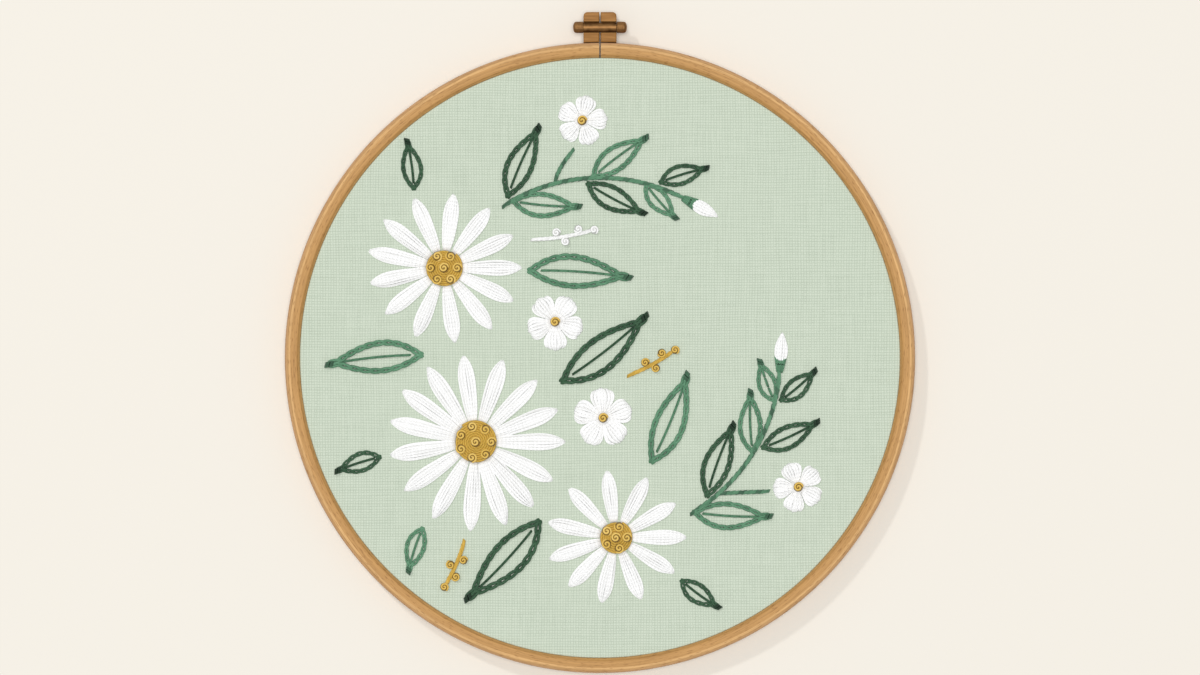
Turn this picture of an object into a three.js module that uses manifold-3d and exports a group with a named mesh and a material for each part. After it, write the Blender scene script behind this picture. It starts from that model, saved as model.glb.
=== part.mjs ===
// Hoop embroidery art: a two-ring wooden hoop with a screw clasp, a stretched ground cloth and
// raised stitching. Millimetres, +Z up. It lies on its back, the stitched face up and the clasp
// towards +Y. The origin is the middle of the footprint, on the surface that it rests on.
import * as THREE from "three";
import { mergeVertices } from "three/addons/utils/BufferGeometryUtils.js";
import Module from "manifold-3d";

const wasm = await Module();
wasm.setup();

// Hoop
const HOOP_RADIUS = 105;
const HOOP_DEPTH = 10;
const OUTER_WALL = 5;
const INNER_WALL = 4;
const CLEARANCE = 0.3;
const EASED_EDGE = 0.4;
const FRONT_ROUNDING = 1.2;
const INNER_BEVEL = 1;
const SAW_GAP = 0.5;
const ROUND_STEPS = 72;

// Ground cloth
const CLOTH_THICKNESS = 1;
const CLOTH_RECESS = 1;
const TURNED_EDGE_RADIUS = 87;
const GATHERS = 18;
const GATHER_LIFT = 1.8;
const GATHER_UNEVENNESS = 0.3;
const RAW_EDGE_WANDER = 1.2;

// Clasp
const LUG_HALF_WIDTH = 5.5;
const LUG_REACH = 115.2;
const LUG_CORNER = 1.3;
const LUG_SETBACK = 0.8;
const LUG_EASING = 0.3;
const SCREW_LENGTH = 18;
const SCREW_DISTANCE = 110.2;
const SCREW_HEIGHT = 7.7;
const SCREW_HEAD_RADIUS = 1.85;
const SCREW_SHANK_RADIUS = 1.6;
const SCREW_THREAD_RADIUS = 0.9;
const SCREW_STEPS = 16;

// Stitching
const PETAL_HEIGHT = 1.3;
const PETAL_GROOVE = 0.8;
const PETAL_SHORTENING = 1.2;
const PETAL_SWAY = 0.12;
const HUB_HEIGHT = 0.5;
const HUB_MARGIN = 1.5;
const CENTRE_EDGE = 0.5;
const CENTRE_SHOULDER = 1.1;
const CENTRE_CROWN = 1.3;
const SMALL_PETALS = 5;
const SMALL_PETAL_WIDTH = 0.86;
const LEAF_HEIGHT = 1.1;
const LEAF_SPREAD = 40;
const LEAF_BEND = 0.1;
const LEAF_WIDTH = { least: 3.4, share: 0.26 };
const LEAF_RIBBON = { least: 1.1, share: 0.035 };
const LEAF_STATIONS = [0.13, 0.3, 0.5, 0.7, 0.87];
const VEIN_WIDTH = 0.9;
const STEM_WIDTH = 1.5;
const STEM_HEIGHT = 1.2;
const SPRIG_BEND = 0.15;
const BUD = { root: 3.3, tip: 12.5, width: 5 };
const CUP = { root: -0.5, tip: 3, width: 4.4 };
const KNOT_RADIUS = 1.7;
const KNOT_LIFT = 0.9;
const KNOT_FLATNESS = 0.75;
const KNOT_SIDES = 7;

// Levels and radii that follow
const CLOTH_FACE = HOOP_DEPTH - CLOTH_RECESS;
const CLOTH_OUTSIDE = HOOP_RADIUS - OUTER_WALL - CLEARANCE;
const CLOTH_INSIDE = CLOTH_OUTSIDE - CLOTH_THICKNESS;
const INNER_RING_OUTSIDE = CLOTH_INSIDE - CLEARANCE;
const INNER_RING_INSIDE = INNER_RING_OUTSIDE - INNER_WALL;
const HOOP_CENTRE_Y = -(LUG_REACH - HOOP_RADIUS) / 2;
const SCREW_SHOULDER = LUG_HALF_WIDTH + CLEARANCE;
const SCREW_END = SCREW_LENGTH / 2;
const SCREW_CROWN = SCREW_HEAD_RADIUS / 2;
const THREAD_END = SCREW_END - 2 * SCREW_CROWN;

// Daisies: where each head lies about the hoop's centre, and how it is worked
const DAISIES = [
  { name: "daisy_large", angle: 214, distance: 50, radius: 30, disc: 7.3, petals: 15, width: 6.3, knots: 7 },
  { name: "daisy_middle", angle: 150, distance: 60, radius: 26, disc: 6.4, petals: 13, width: 5.8, knots: 6 },
  { name: "daisy_small", angle: 275, distance: 60, radius: 23.5, disc: 5.7, petals: 11, width: 5.6, knots: 5 },
];

const SMALL_FLOWERS = [
  { name: "small_flower_low", x: 1, y: -20, radius: 10, turn: 20 },
  { name: "small_flower_middle", x: -15, y: 12, radius: 9.5, turn: 55 },
  { name: "small_flower_top", x: -6, y: 79, radius: 8.5, turn: 5 },
  { name: "small_flower_right", x: 66, y: -43, radius: 8.5, turn: 40 },
];

// Two sprays on the circle that the daisies follow, from one angle to the other. A branch or a leaf
// leaves the stem at a share of its length; side 1 is its left, going outwards, and -1 its right.
const SPRAY_CIRCLE = 60;
const SPRAYS = [
  {
    name: "spray_top",
    from: 123,
    to: 62,
    branch: { at: 0.3, x: -8.5, y: 69.5 },
    leaves: [
      { at: 0.02, side: 1, length: 25, tone: "dark" },
      { at: 0.06, side: -1, length: 22, tone: "mid" },
      { at: 0.44, side: -1, length: 21, tone: "dark" },
      { at: 0.5, side: 1, length: 22, tone: "mid" },
      { at: 0.78, side: -1, length: 15, tone: "mid" },
      { at: 0.82, side: 1, length: 16, tone: "dark" },
    ],
  },
  {
    name: "spray_right",
    from: 300,
    to: 356,
    branch: { at: 0.2, x: 56.5, y: -44.5 },
    leaves: [
      { at: 0.02, side: -1, length: 25, tone: "mid" },
      { at: 0.1, side: 1, length: 25, tone: "dark" },
      { at: 0.5, side: 1, length: 20, tone: "mid" },
      { at: 0.52, side: -1, length: 20, tone: "dark" },
      { at: 0.8, side: -1, length: 15, tone: "dark" },
      { at: 0.82, side: 1, length: 14, tone: "mid" },
    ],
  },
];

// Leaves that stand by themselves beside the daisies
const SINGLE_LEAVES = [
  { name: "leaf_left", x: -59, y: 1, direction: 180, length: 31, side: 1, tone: "mid" },
  { name: "leaf_below", x: -20, y: -54, direction: 233, length: 35, side: -1, tone: "dark" },
  { name: "leaf_to_centre", x: -13, y: -8, direction: 32, length: 35, side: 1, tone: "dark" },
  { name: "leaf_inner_top", x: -24, y: 29, direction: 2, length: 33, side: -1, tone: "mid" },
  { name: "leaf_inner_low", x: 17, y: -35, direction: 62, length: 31, side: 1, tone: "mid" },
  { name: "leaf_tip_west", x: -73, y: -33, direction: 192, length: 15, side: 1, tone: "dark" },
  { name: "leaf_tip_south", x: -59, y: -56.5, direction: 246, length: 15, side: 1, tone: "mid" },
  { name: "leaf_tip_north", x: -62, y: 56, direction: 92, length: 16, side: 1, tone: "dark" },
  { name: "leaf_tip_low", x: 27, y: -74, direction: 318, length: 15, side: 1, tone: "dark" },
];

// Sprigs of small knots on a curved stalk
const SPRIGS = [
  { name: "sprig_centre", x: 9, y: -6, direction: 20, length: 18, side: 1, tone: "gold" },
  { name: "sprig_top", x: -23, y: 39.5, direction: 0, length: 21, side: 1, tone: "white" },
  { name: "sprig_below", x: -45, y: -60.5, direction: 255, length: 17, side: -1, tone: "gold" },
];
const SPRIG_KNOTS = [
  { along: 0.4, offset: 1 },
  { along: 0.55, offset: -1 },
  { along: 0.75, offset: 1 },
  { along: 1, offset: 0 },
];

// Width of a petal at each share of its length, as a share of its full width
const LONG_PETAL = [
  { along: 0, width: 0.5 },
  { along: 0.25, width: 0.82 },
  { along: 0.6, width: 1 },
  { along: 0.86, width: 0.74 },
  { along: 1, width: 0.16 },
];
const ROUND_PETAL = [
  { along: 0, width: 0.34 },
  { along: 0.4, width: 0.84 },
  { along: 0.75, width: 1 },
  { along: 1, width: 0.48 },
];
const BUD_SECTIONS = [
  { along: 0, width: 0.6 },
  { along: 0.4, width: 1 },
  { along: 1, width: 0.2 },
];
const CUP_SECTIONS = [
  { along: 0, width: 0.3 },
  { along: 0.5, width: 0.9 },
  { along: 1, width: 1 },
];

const FINISHES = {
  wood: { color: 0xc79b64, roughness: 0.55, metalness: 0 },
  darkWood: { color: 0xa97b4a, roughness: 0.55, metalness: 0 },
  bronze: { color: 0x91693d, roughness: 0.4, metalness: 0.8 },
  cloth: { color: 0xcad6c4, roughness: 0.9, metalness: 0 },
  white: { color: 0xfafafa, roughness: 0.7, metalness: 0 },
  gold: { color: 0xd2a446, roughness: 0.65, metalness: 0 },
  mid: { color: 0x5d8c6c, roughness: 0.7, metalness: 0 },
  dark: { color: 0x3c5540, roughness: 0.7, metalness: 0 },
};

const radians = THREE.MathUtils.degToRad;
const vector = (x, y) => new THREE.Vector2(x, y);

// A closed geometry as a solid that can be joined and cut.
function solidFrom(geometry) {
  const bare = geometry.clone();
  bare.deleteAttribute("normal");
  bare.deleteAttribute("uv");
  const merged = mergeVertices(bare);
  return new wasm.Manifold(
    new wasm.Mesh({
      numProp: 3,
      vertProperties: merged.attributes.position.array,
      triVerts: new Uint32Array(merged.index.array),
    }),
  );
}

function geometryFrom(solid) {
  const mesh = solid.getMesh();
  const geometry = new THREE.BufferGeometry();
  geometry.setAttribute("position", new THREE.BufferAttribute(mesh.vertProperties, 3));
  geometry.setIndex(new THREE.BufferAttribute(mesh.triVerts, 1));
  geometry.computeVertexNormals();
  return geometry;
}

function joined(geometries) {
  return geometryFrom(geometries.map(solidFrom).reduce((sum, solid) => sum.add(solid)));
}

function cut(geometry, tool) {
  return geometryFrom(solidFrom(geometry).subtract(solidFrom(tool)));
}

function meshOf(name, geometry, finish) {
  const mesh = new THREE.Mesh(geometry, new THREE.MeshStandardMaterial(FINISHES[finish]));
  mesh.name = name;
  return mesh;
}

// A profile of [radius, height] pairs, anticlockwise, turned about the Z axis.
function turned(profile, steps) {
  const points = profile.map(([radius, height]) => vector(radius, height));
  return new THREE.LatheGeometry(points, steps).rotateX(Math.PI / 2);
}

// The same with the profile's heights along the X axis.
function turnedAlongX(profile) {
  const points = profile.map(([radius, along]) => vector(radius, along));
  return new THREE.LatheGeometry(points, SCREW_STEPS).rotateZ(-Math.PI / 2);
}

// A quarter round from an outside face to a top face, as [x, y] pairs.
function quarterRound(outside, top, radius, steps) {
  return Array.from({ length: steps + 1 }, (_, i) => {
    const turn = (i / steps) * (Math.PI / 2);
    const x = outside - radius + radius * Math.cos(turn);
    const y = top - radius + radius * Math.sin(turn);
    return [x, y];
  });
}

// The outer hoop, with a bevel inside its front, a rounded outside edge, and the split at the top.
function outerRing() {
  const inside = HOOP_RADIUS - OUTER_WALL;
  const body = turned(
    [
      [inside + EASED_EDGE, 0],
      [HOOP_RADIUS - EASED_EDGE, 0],
      [HOOP_RADIUS, EASED_EDGE],
      ...quarterRound(HOOP_RADIUS, HOOP_DEPTH, FRONT_ROUNDING, 3),
      [inside + INNER_BEVEL, HOOP_DEPTH],
      [inside, HOOP_DEPTH - INNER_BEVEL],
      [inside, EASED_EDGE],
      [inside + EASED_EDGE, 0],
    ],
    ROUND_STEPS,
  );
  const split = new THREE.BoxGeometry(SAW_GAP, 4 * OUTER_WALL, 3 * HOOP_DEPTH);
  return meshOf("outer_ring", cut(body, split.translate(0, HOOP_RADIUS, 0)), "wood");
}

function innerRing() {
  const outside = INNER_RING_OUTSIDE;
  const inside = INNER_RING_INSIDE;
  const back = CLOTH_THICKNESS + 2 * CLEARANCE;
  const front = CLOTH_FACE - CLOTH_THICKNESS - CLEARANCE;
  const body = turned(
    [
      [inside, back],
      [outside - EASED_EDGE, back],
      [outside, back + EASED_EDGE],
      [outside, front - EASED_EDGE],
      [outside - EASED_EDGE, front],
      [inside, front],
      [inside, back],
    ],
    ROUND_STEPS,
  );
  return meshOf("inner_ring", body, "wood");
}

// The cloth is one sheet: the stretched face, the skirt between the two rings, and the edge turned
// in behind the inner ring, which rises in soft uneven gathers towards its raw edge.
function groundCloth() {
  const under = CLOTH_FACE - CLOTH_THICKNESS;
  const back = CLEARANCE;
  const backInside = back + CLOTH_THICKNESS;
  const middle = (INNER_RING_INSIDE + TURNED_EDGE_RADIUS) / 2;
  const sheet = turned(
    [
      [0, under],
      [CLOTH_INSIDE, under],
      [CLOTH_INSIDE, backInside],
      [INNER_RING_INSIDE, backInside],
      [middle, backInside],
      [TURNED_EDGE_RADIUS, backInside],
      [TURNED_EDGE_RADIUS, back],
      [middle, back],
      [INNER_RING_INSIDE, back],
      [CLOTH_OUTSIDE - EASED_EDGE, back],
      [CLOTH_OUTSIDE, back + EASED_EDGE],
      [CLOTH_OUTSIDE, CLOTH_FACE - EASED_EDGE],
      [CLOTH_OUTSIDE - EASED_EDGE, CLOTH_FACE],
      [0, CLOTH_FACE],
    ],
    ROUND_STEPS,
  );
  const place = sheet.attributes.position;
  for (let i = 0; i < place.count; i++) {
    const [x, y] = [place.getX(i), place.getY(i)];
    const radius = Math.hypot(x, y);
    if (radius < TURNED_EDGE_RADIUS - 1 || radius > INNER_RING_INSIDE) continue;
    const turn = Math.atan2(y, x);
    const share = (INNER_RING_INSIDE - radius) / (INNER_RING_INSIDE - TURNED_EDGE_RADIUS);
    const fold = 0.5 + 0.5 * Math.cos(GATHERS * turn);
    const strength = 1 - GATHER_UNEVENNESS * (1 - Math.sin(5 * turn + 1));
    const reach = 1 + (share * RAW_EDGE_WANDER * Math.sin(7 * turn)) / radius;
    const lift = share * GATHER_LIFT * fold * strength;
    place.setXYZ(i, x * reach, y * reach, place.getZ(i) + lift);
  }
  return meshOf("ground_cloth", sheet, "cloth");
}

// One lug of the clasp, glued beside the split; side 1 is the right one, -1 the left.
function claspLug(name, side) {
  const near = SAW_GAP / 2;
  const seat = HOOP_RADIUS + CLEARANCE;
  const outline = [
    [near, LUG_REACH],
    [near, Math.sqrt(seat ** 2 - near ** 2)],
    [LUG_HALF_WIDTH, Math.sqrt(seat ** 2 - LUG_HALF_WIDTH ** 2)],
    ...quarterRound(LUG_HALF_WIDTH, LUG_REACH, LUG_CORNER, 4),
  ];
  const shape = new THREE.Shape(outline.map(([x, y]) => vector(side * x, y)));
  const block = new THREE.ExtrudeGeometry(shape, {
    depth: HOOP_DEPTH - 2 * LUG_SETBACK - 2 * LUG_EASING,
    bevelSize: LUG_EASING,
    bevelOffset: -LUG_EASING,
    bevelThickness: LUG_EASING,
    bevelSegments: 1,
  });
  block.translate(0, 0, LUG_SETBACK + LUG_EASING);
  return meshOf(name, cut(block, screwSlot()), "darkWood");
}

// The slot across both lugs, open to the front, with a round bottom.
function screwSlot() {
  const radius = SCREW_SHANK_RADIUS + CLEARANCE;
  const section = new THREE.Shape();
  section.absarc(0, 0, radius, Math.PI, 2 * Math.PI);
  section.lineTo(radius, HOOP_DEPTH);
  section.lineTo(-radius, HOOP_DEPTH);
  const slot = new THREE.ExtrudeGeometry(section, {
    depth: 4 * LUG_HALF_WIDTH,
    curveSegments: 8,
    bevelEnabled: false,
  });
  slot.translate(0, 0, -2 * LUG_HALF_WIDTH);
  const acrossTheLugs = new THREE.Matrix4().makeBasis(
    new THREE.Vector3(0, 1, 0),
    new THREE.Vector3(0, 0, 1),
    new THREE.Vector3(1, 0, 0),
  );
  return slot.applyMatrix4(acrossTheLugs).translate(0, SCREW_DISTANCE, SCREW_HEIGHT);
}

// A shoulder screw: round head with a driver's slot, shank across the lugs, thinner threaded end.
function clampScrew() {
  const body = turnedAlongX([
    [0, -SCREW_END],
    [SCREW_CROWN, -SCREW_END + 0.2 * SCREW_CROWN],
    [SCREW_HEAD_RADIUS, -SCREW_END + SCREW_CROWN],
    [SCREW_HEAD_RADIUS, -SCREW_SHOULDER],
    [SCREW_SHANK_RADIUS, -SCREW_SHOULDER],
    [SCREW_SHANK_RADIUS, SCREW_SHOULDER],
    [SCREW_THREAD_RADIUS, SCREW_SHOULDER],
    [SCREW_THREAD_RADIUS, THREAD_END],
    [0, THREAD_END],
  ]);
  const driverSlot = new THREE.BoxGeometry(SCREW_CROWN, 3 * SCREW_HEAD_RADIUS, SCREW_HEAD_RADIUS / 3);
  driverSlot.translate(-SCREW_END + SCREW_CROWN / 4, 0, 0);
  const screw = cut(body, driverSlot).translate(0, SCREW_DISTANCE, SCREW_HEIGHT);
  return meshOf("clamp_screw", screw, "bronze");
}

function barrelNut() {
  const body = turnedAlongX([
    [0, SCREW_SHOULDER + CLEARANCE],
    [SCREW_HEAD_RADIUS, SCREW_SHOULDER + CLEARANCE],
    [SCREW_HEAD_RADIUS, SCREW_END - SCREW_CROWN],
    [SCREW_CROWN, SCREW_END - 0.2 * SCREW_CROWN],
    [0, SCREW_END],
  ]);
  const bore = turnedAlongX([
    [0, 0],
    [SCREW_THREAD_RADIUS + CLEARANCE, 0],
    [SCREW_THREAD_RADIUS + CLEARANCE, THREAD_END + CLEARANCE],
    [0, THREAD_END + CLEARANCE],
  ]);
  const nut = cut(body, bore).translate(0, SCREW_DISTANCE, SCREW_HEIGHT);
  return meshOf("barrel_nut", nut, "bronze");
}

// One stitched petal along +X on a flat back. Each section is a row of points across it: lengthwise
// bundles of thread with a groove between each two, lower towards the petal's sides and ends.
// After the face's points, a row ends with the two points of the back.
function petal({ root, tip, width, bundles, sections }) {
  const across = 2 * bundles;
  const row = across + 3;
  const points = [];
  const faces = [];
  const quad = (a, b, c, d) => faces.push(a, b, c, a, c, d);
  sections.forEach((section, i) => {
    const x = root + (tip - root) * section.along;
    const half = (width / 2) * section.width;
    for (let k = 0; k <= across; k++) {
      const side = (2 * k) / across - 1;
      const groove = k % 2 ? 1 : PETAL_GROOVE;
      const crown = (1 - 0.45 * side ** 4) * (0.7 + 0.3 * section.width);
      points.push(x, half * side, PETAL_HEIGHT * groove * crown);
    }
    points.push(x, -half, 0, x, half, 0);
    if (i === sections.length - 1) return;
    const here = i * row;
    const next = here + row;
    for (let k = 0; k < across; k++) quad(here + k, next + k, next + k + 1, here + k + 1);
    quad(here + across + 1, here + across + 2, next + across + 2, next + across + 1);
    quad(here + across + 1, next + across + 1, next, here);
    quad(here + across + 2, here + across, next + across, next + across + 2);
  });
  const end = (sections.length - 1) * row;
  for (let k = 0; k <= across; k++) {
    const following = k < across ? k + 1 : across + 2;
    faces.push(across + 1, k, following);
    faces.push(end + across + 1, end + following, end + k);
  }
  const geometry = new THREE.BufferGeometry();
  geometry.setAttribute("position", new THREE.Float32BufferAttribute(points, 3));
  geometry.setIndex(faces);
  return geometry;
}

// A wound knot: a low round bead whose lower part is in what carries it.
function knot(x, y, lift) {
  const bead = new THREE.SphereGeometry(KNOT_RADIUS, KNOT_SIDES, 4).rotateX(Math.PI / 2);
  return bead.scale(1, 1, KNOT_FLATNESS).translate(x, y, lift);
}

// Takes away what would lie below the cloth's face.
function flatBacked(geometry) {
  const below = new THREE.BoxGeometry(4 * HOOP_RADIUS, 4 * HOOP_RADIUS, HOOP_DEPTH);
  return cut(geometry, below.translate(0, 0, -HOOP_DEPTH / 2));
}

// The low disc that joins a flower's petals under its centre.
function hub(radius) {
  const disc = new THREE.CylinderGeometry(radius, radius, HUB_HEIGHT, 24).rotateX(Math.PI / 2);
  return disc.translate(0, 0, HUB_HEIGHT / 2);
}

// A daisy: petals joined by their hub, and a gold centre of knots that stands on it.
function daisy({ name, angle, distance, radius, disc, petals, width, knots }) {
  const white = [hub(disc + HUB_MARGIN)];
  for (let i = 0; i < petals; i++) {
    const tip = radius - PETAL_SHORTENING * Math.abs(Math.sin(3.7 * i));
    const turn = (2 * Math.PI * (i + PETAL_SWAY * Math.sin(5.3 * i))) / petals;
    const long = { root: disc + CLEARANCE, tip, width, bundles: 3, sections: LONG_PETAL };
    white.push(petal(long).rotateZ(turn));
  }
  const pad = turned(
    [
      [0, 0],
      [disc, 0],
      [disc, CENTRE_EDGE],
      [disc - 1, CENTRE_SHOULDER],
      [0, CENTRE_CROWN],
    ],
    20,
  );
  const gold = [pad, knot(0, 0, CENTRE_CROWN)];
  for (let i = 0; i < knots; i++) {
    const turn = (2 * Math.PI * i) / knots;
    const place = disc - KNOT_RADIUS - CLEARANCE;
    gold.push(knot(place * Math.cos(turn), place * Math.sin(turn), KNOT_LIFT));
  }
  const centre = meshOf(name + "_centre", flatBacked(joined(gold)), "gold");
  centre.position.z = HUB_HEIGHT;
  const flower = new THREE.Group();
  flower.position.set(distance * Math.cos(radians(angle)), distance * Math.sin(radians(angle)), 0);
  return flower.add(meshOf(name + "_petals", joined(white), "white"), centre);
}

function smallFlower({ name, x, y, radius, turn }) {
  const root = KNOT_RADIUS + CLEARANCE;
  const width = SMALL_PETAL_WIDTH * radius;
  const round = { root, tip: radius, width, bundles: 2, sections: ROUND_PETAL };
  const white = [hub(root + HUB_MARGIN)];
  for (let i = 0; i < SMALL_PETALS; i++) {
    white.push(petal(round).rotateZ((2 * Math.PI * i) / SMALL_PETALS));
  }
  const eye = flatBacked(knot(0, 0, KNOT_LIFT)).translate(0, 0, HUB_HEIGHT);
  const flower = new THREE.Group();
  flower.position.set(x, y, 0);
  flower.rotation.z = radians(turn);
  return flower.add(meshOf(name + "_petals", joined(white), "white"), meshOf(name + "_knot", eye, "gold"));
}

// An outlined leaf along +X: a ribbon round its edge and a vein down its middle, all in one piece.
// Its middle line bends to its left for bend 1 and to its right for bend -1.
function leaf(length, bend) {
  const width = LEAF_WIDTH.least + LEAF_WIDTH.share * length;
  const ribbon = LEAF_RIBBON.least + LEAF_RIBBON.share * length;
  const half = (t) => (width / 2) * Math.sin(Math.PI * t ** 0.85) ** 0.9;
  const at = (t, offset) => vector(t * length, offset + bend * LEAF_BEND * length * t * t);
  const edge = (side) => LEAF_STATIONS.map((t) => at(t, side * half(t)));
  const shape = new THREE.Shape([at(0, 0), ...edge(-1), at(1, 0), ...edge(1).reverse()]);
  const open = LEAF_STATIONS.filter((t) => half(t) - ribbon > VEIN_WIDTH / 2 + CLEARANCE);
  for (const side of [1, -1]) {
    const rim = open.map((t) => at(t, side * (half(t) - ribbon)));
    const vein = open.map((t) => at(t, (side * VEIN_WIDTH) / 2)).reverse();
    shape.holes.push(new THREE.Path([...rim, ...vein]));
  }
  return new THREE.ExtrudeGeometry(shape, { depth: LEAF_HEIGHT, bevelEnabled: false });
}

// A raised line of stitches along a curve on the cloth, flat below and round above.
function stitchedLine(points, steps) {
  const side = STEM_WIDTH / 2;
  const section = new THREE.Shape([
    vector(0, -side),
    vector(0, side),
    vector(-0.7 * STEM_HEIGHT, 0.7 * side),
    vector(-STEM_HEIGHT, 0),
    vector(-0.7 * STEM_HEIGHT, -0.7 * side),
  ]);
  const path = new THREE.CatmullRomCurve3(points.map(([x, y]) => new THREE.Vector3(x, y, 0)));
  return new THREE.ExtrudeGeometry(section, { steps, extrudePath: path, bevelEnabled: false });
}

function placed(geometry, { x, y, direction }) {
  return geometry.rotateZ(radians(direction)).translate(x, y, 0);
}

// Where a spray's stem is at a share of its length, and the direction in which it grows there.
function onSpray({ from, to }, share) {
  const angle = from + (to - from) * share;
  const x = SPRAY_CIRCLE * Math.cos(radians(angle));
  const y = SPRAY_CIRCLE * Math.sin(radians(angle));
  return { x, y, direction: angle + 90 * Math.sign(to - from) };
}

// A spray: its stem, branch, bud cup and mid green leaves are worked in one thread and are one
// piece; its dark leaves start beside the stem, each a piece of its own, and so does the bud.
function spray(table) {
  const { name, branch, leaves } = table;
  const stemPoints = [0, 0.2, 0.4, 0.6, 0.8, 1].map((share) => {
    const { x, y } = onSpray(table, share);
    return [x, y];
  });
  const fork = onSpray(table, branch.at);
  const lean = [(fork.x + branch.x) / 2 - 1, (fork.y + branch.y) / 2];
  const branchPoints = [[fork.x, fork.y], lean, [branch.x, branch.y]];
  const green = [stitchedLine(stemPoints, 16), stitchedLine(branchPoints, 4)];
  const group = new THREE.Group();
  leaves.forEach(({ at, side, length, tone }, i) => {
    const base = onSpray(table, at);
    const direction = base.direction + side * LEAF_SPREAD;
    const shape = leaf(length, -side);
    if (tone === "dark") shape.translate(STEM_WIDTH / 2 + 6 * CLEARANCE, 0, 0);
    const outlined = placed(shape, { ...base, direction });
    if (tone === "dark") group.add(meshOf(`${name}_leaf_${i + 1}`, outlined, tone));
    else green.push(outlined);
  });
  const tip = onSpray(table, 1);
  green.push(placed(petal({ ...CUP, bundles: 1, sections: CUP_SECTIONS }), tip));
  const bud = petal({ ...BUD, bundles: 3, sections: BUD_SECTIONS });
  group.add(meshOf(name + "_green", joined(green), "mid"));
  return group.add(meshOf(name + "_bud", placed(bud, tip), "white"));
}

function singleLeaf({ name, length, side, tone, ...place }) {
  return meshOf(name, placed(leaf(length, side), place), tone);
}

// A sprig: a stalk that bends to one side, with small knots beside it and one at its end.
function sprig({ name, length, side, tone, ...place }) {
  const onStalk = (t) => [t * length, side * SPRIG_BEND * length * t * t];
  const parts = [stitchedLine([0, 0.35, 0.7, 1].map(onStalk), 6)];
  for (const { along, offset } of SPRIG_KNOTS) {
    const [x, y] = onStalk(along);
    parts.push(knot(x, y + offset * KNOT_RADIUS, KNOT_LIFT));
  }
  return meshOf(name, placed(flatBacked(joined(parts)), place), tone);
}

const stitching = new THREE.Group();
stitching.position.z = CLOTH_FACE;
stitching.add(
  ...DAISIES.map(daisy),
  ...SMALL_FLOWERS.map(smallFlower),
  ...SPRAYS.map(spray),
  ...SINGLE_LEAVES.map(singleLeaf),
  ...SPRIGS.map(sprig),
);

const hoopArt = new THREE.Group();
hoopArt.position.y = HOOP_CENTRE_Y;
hoopArt.add(
  outerRing(),
  innerRing(),
  groundCloth(),
  claspLug("clasp_lug_left", -1),
  claspLug("clasp_lug_right", 1),
  clampScrew(),
  barrelNut(),
  stitching,
);

export default hoopArt;
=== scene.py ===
import math

import bmesh
import bpy
import numpy as np
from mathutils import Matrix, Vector


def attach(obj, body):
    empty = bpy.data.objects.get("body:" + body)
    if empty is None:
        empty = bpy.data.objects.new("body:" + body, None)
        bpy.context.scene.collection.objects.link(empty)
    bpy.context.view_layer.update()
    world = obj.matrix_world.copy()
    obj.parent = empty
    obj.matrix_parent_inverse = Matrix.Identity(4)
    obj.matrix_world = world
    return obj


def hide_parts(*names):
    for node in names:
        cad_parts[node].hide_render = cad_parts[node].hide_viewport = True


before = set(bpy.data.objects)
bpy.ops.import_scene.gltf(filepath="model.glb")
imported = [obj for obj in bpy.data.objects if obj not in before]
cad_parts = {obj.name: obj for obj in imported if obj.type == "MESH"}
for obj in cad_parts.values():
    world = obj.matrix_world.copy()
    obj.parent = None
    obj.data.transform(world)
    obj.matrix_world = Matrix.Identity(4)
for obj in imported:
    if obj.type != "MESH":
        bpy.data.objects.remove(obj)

# Every length below is in millimetres about the hoop's centre, as in the part's source.
MM = 0.001
HOOP_CENTRE = np.array([0.0, -5.1, 0.0])

# The picture: the lamps' and the camera's distances are in metres
PHOTO_WIDTH_PX = 1200
MM_PER_PX = 0.3329
HOOP_CENTRE_BELOW_MIDDLE_PX = 20.4
CAMERA_DISTANCE = 1.6
CAMERA_FILM_MM = 36.0
LAMP_DISTANCE = 5.0
ROOM_LIGHT = 0.375
PAPER_HALF = 3000.0


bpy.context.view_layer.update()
chance = np.random.default_rng(8)

# The hoop
HOOP_RADIUS = 105.0
HOOP_DEPTH = 10.0
OUTER_WALL = 5.0
INNER_RING_OUTSIDE = 98.4
INNER_RING_INSIDE = 94.4
INNER_RING_BACK = 1.6
INNER_RING_FRONT = 7.7
EASED_EDGE = 0.4
FRONT_ROUNDING = 1.2
INNER_BEVEL = 1.0
BEVEL_EASED_BY = 0.1
BEVEL_EASED_OVER = 0.25
SAW_GAP = 0.5
OUTER_RING_STEPS = 361
INNER_RING_STEPS = 289
CRISP_ANGLE = 40

# The cloth
CLOTH_FACE = 9.0
CLOTH_SHEET = 0.55
CLOTH_PRESSED = 99.97
CLOTH_STEPS = 300
SKIRT_TOP = 7.6
SKIRT_FOOT = 1.5
RIM_ROUNDING = 0.2
HEEL_RADIUS = 0.7
RIM_RIDGES = ((23, 0.4), (37, 2.0), (61, 4.1), (89, 1.2))
RIDGE_HEIGHT = 0.07
RIDGES_BEGIN = 70
RIDGES_FULL = 98
RIDGES_END = 98.5
RIDGES_FADE_OVER = 6
STITCH_PULL = 0.13
PULL_BEYOND = 2.5
PULL_WIDTH = 5.5
TURNED_EDGE_RADIUS = 87.0
TURNED_EDGE_LEVEL = 0.59
GATHERS = 18
GATHER_LIFT = 1.6
RAW_EDGE_WANDER = 1.2
PUCKERS = 52
PUCKER_LIFT = 0.75
GATHERING_STITCHES = 96
GATHERING_RADIUS = 90.2
GATHERING_BAND = 3.2
GATHERING_THREAD = 0.16
GATHERING_STITCH_SHARE = 0.66
GATHERING_WANDER = 0.5
GATHERING_HEIGHT = 0.1
GATHERING_DIP = 0.16
WEAVE_PITCH = 0.9
PLY_PITCH = 1.3

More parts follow.
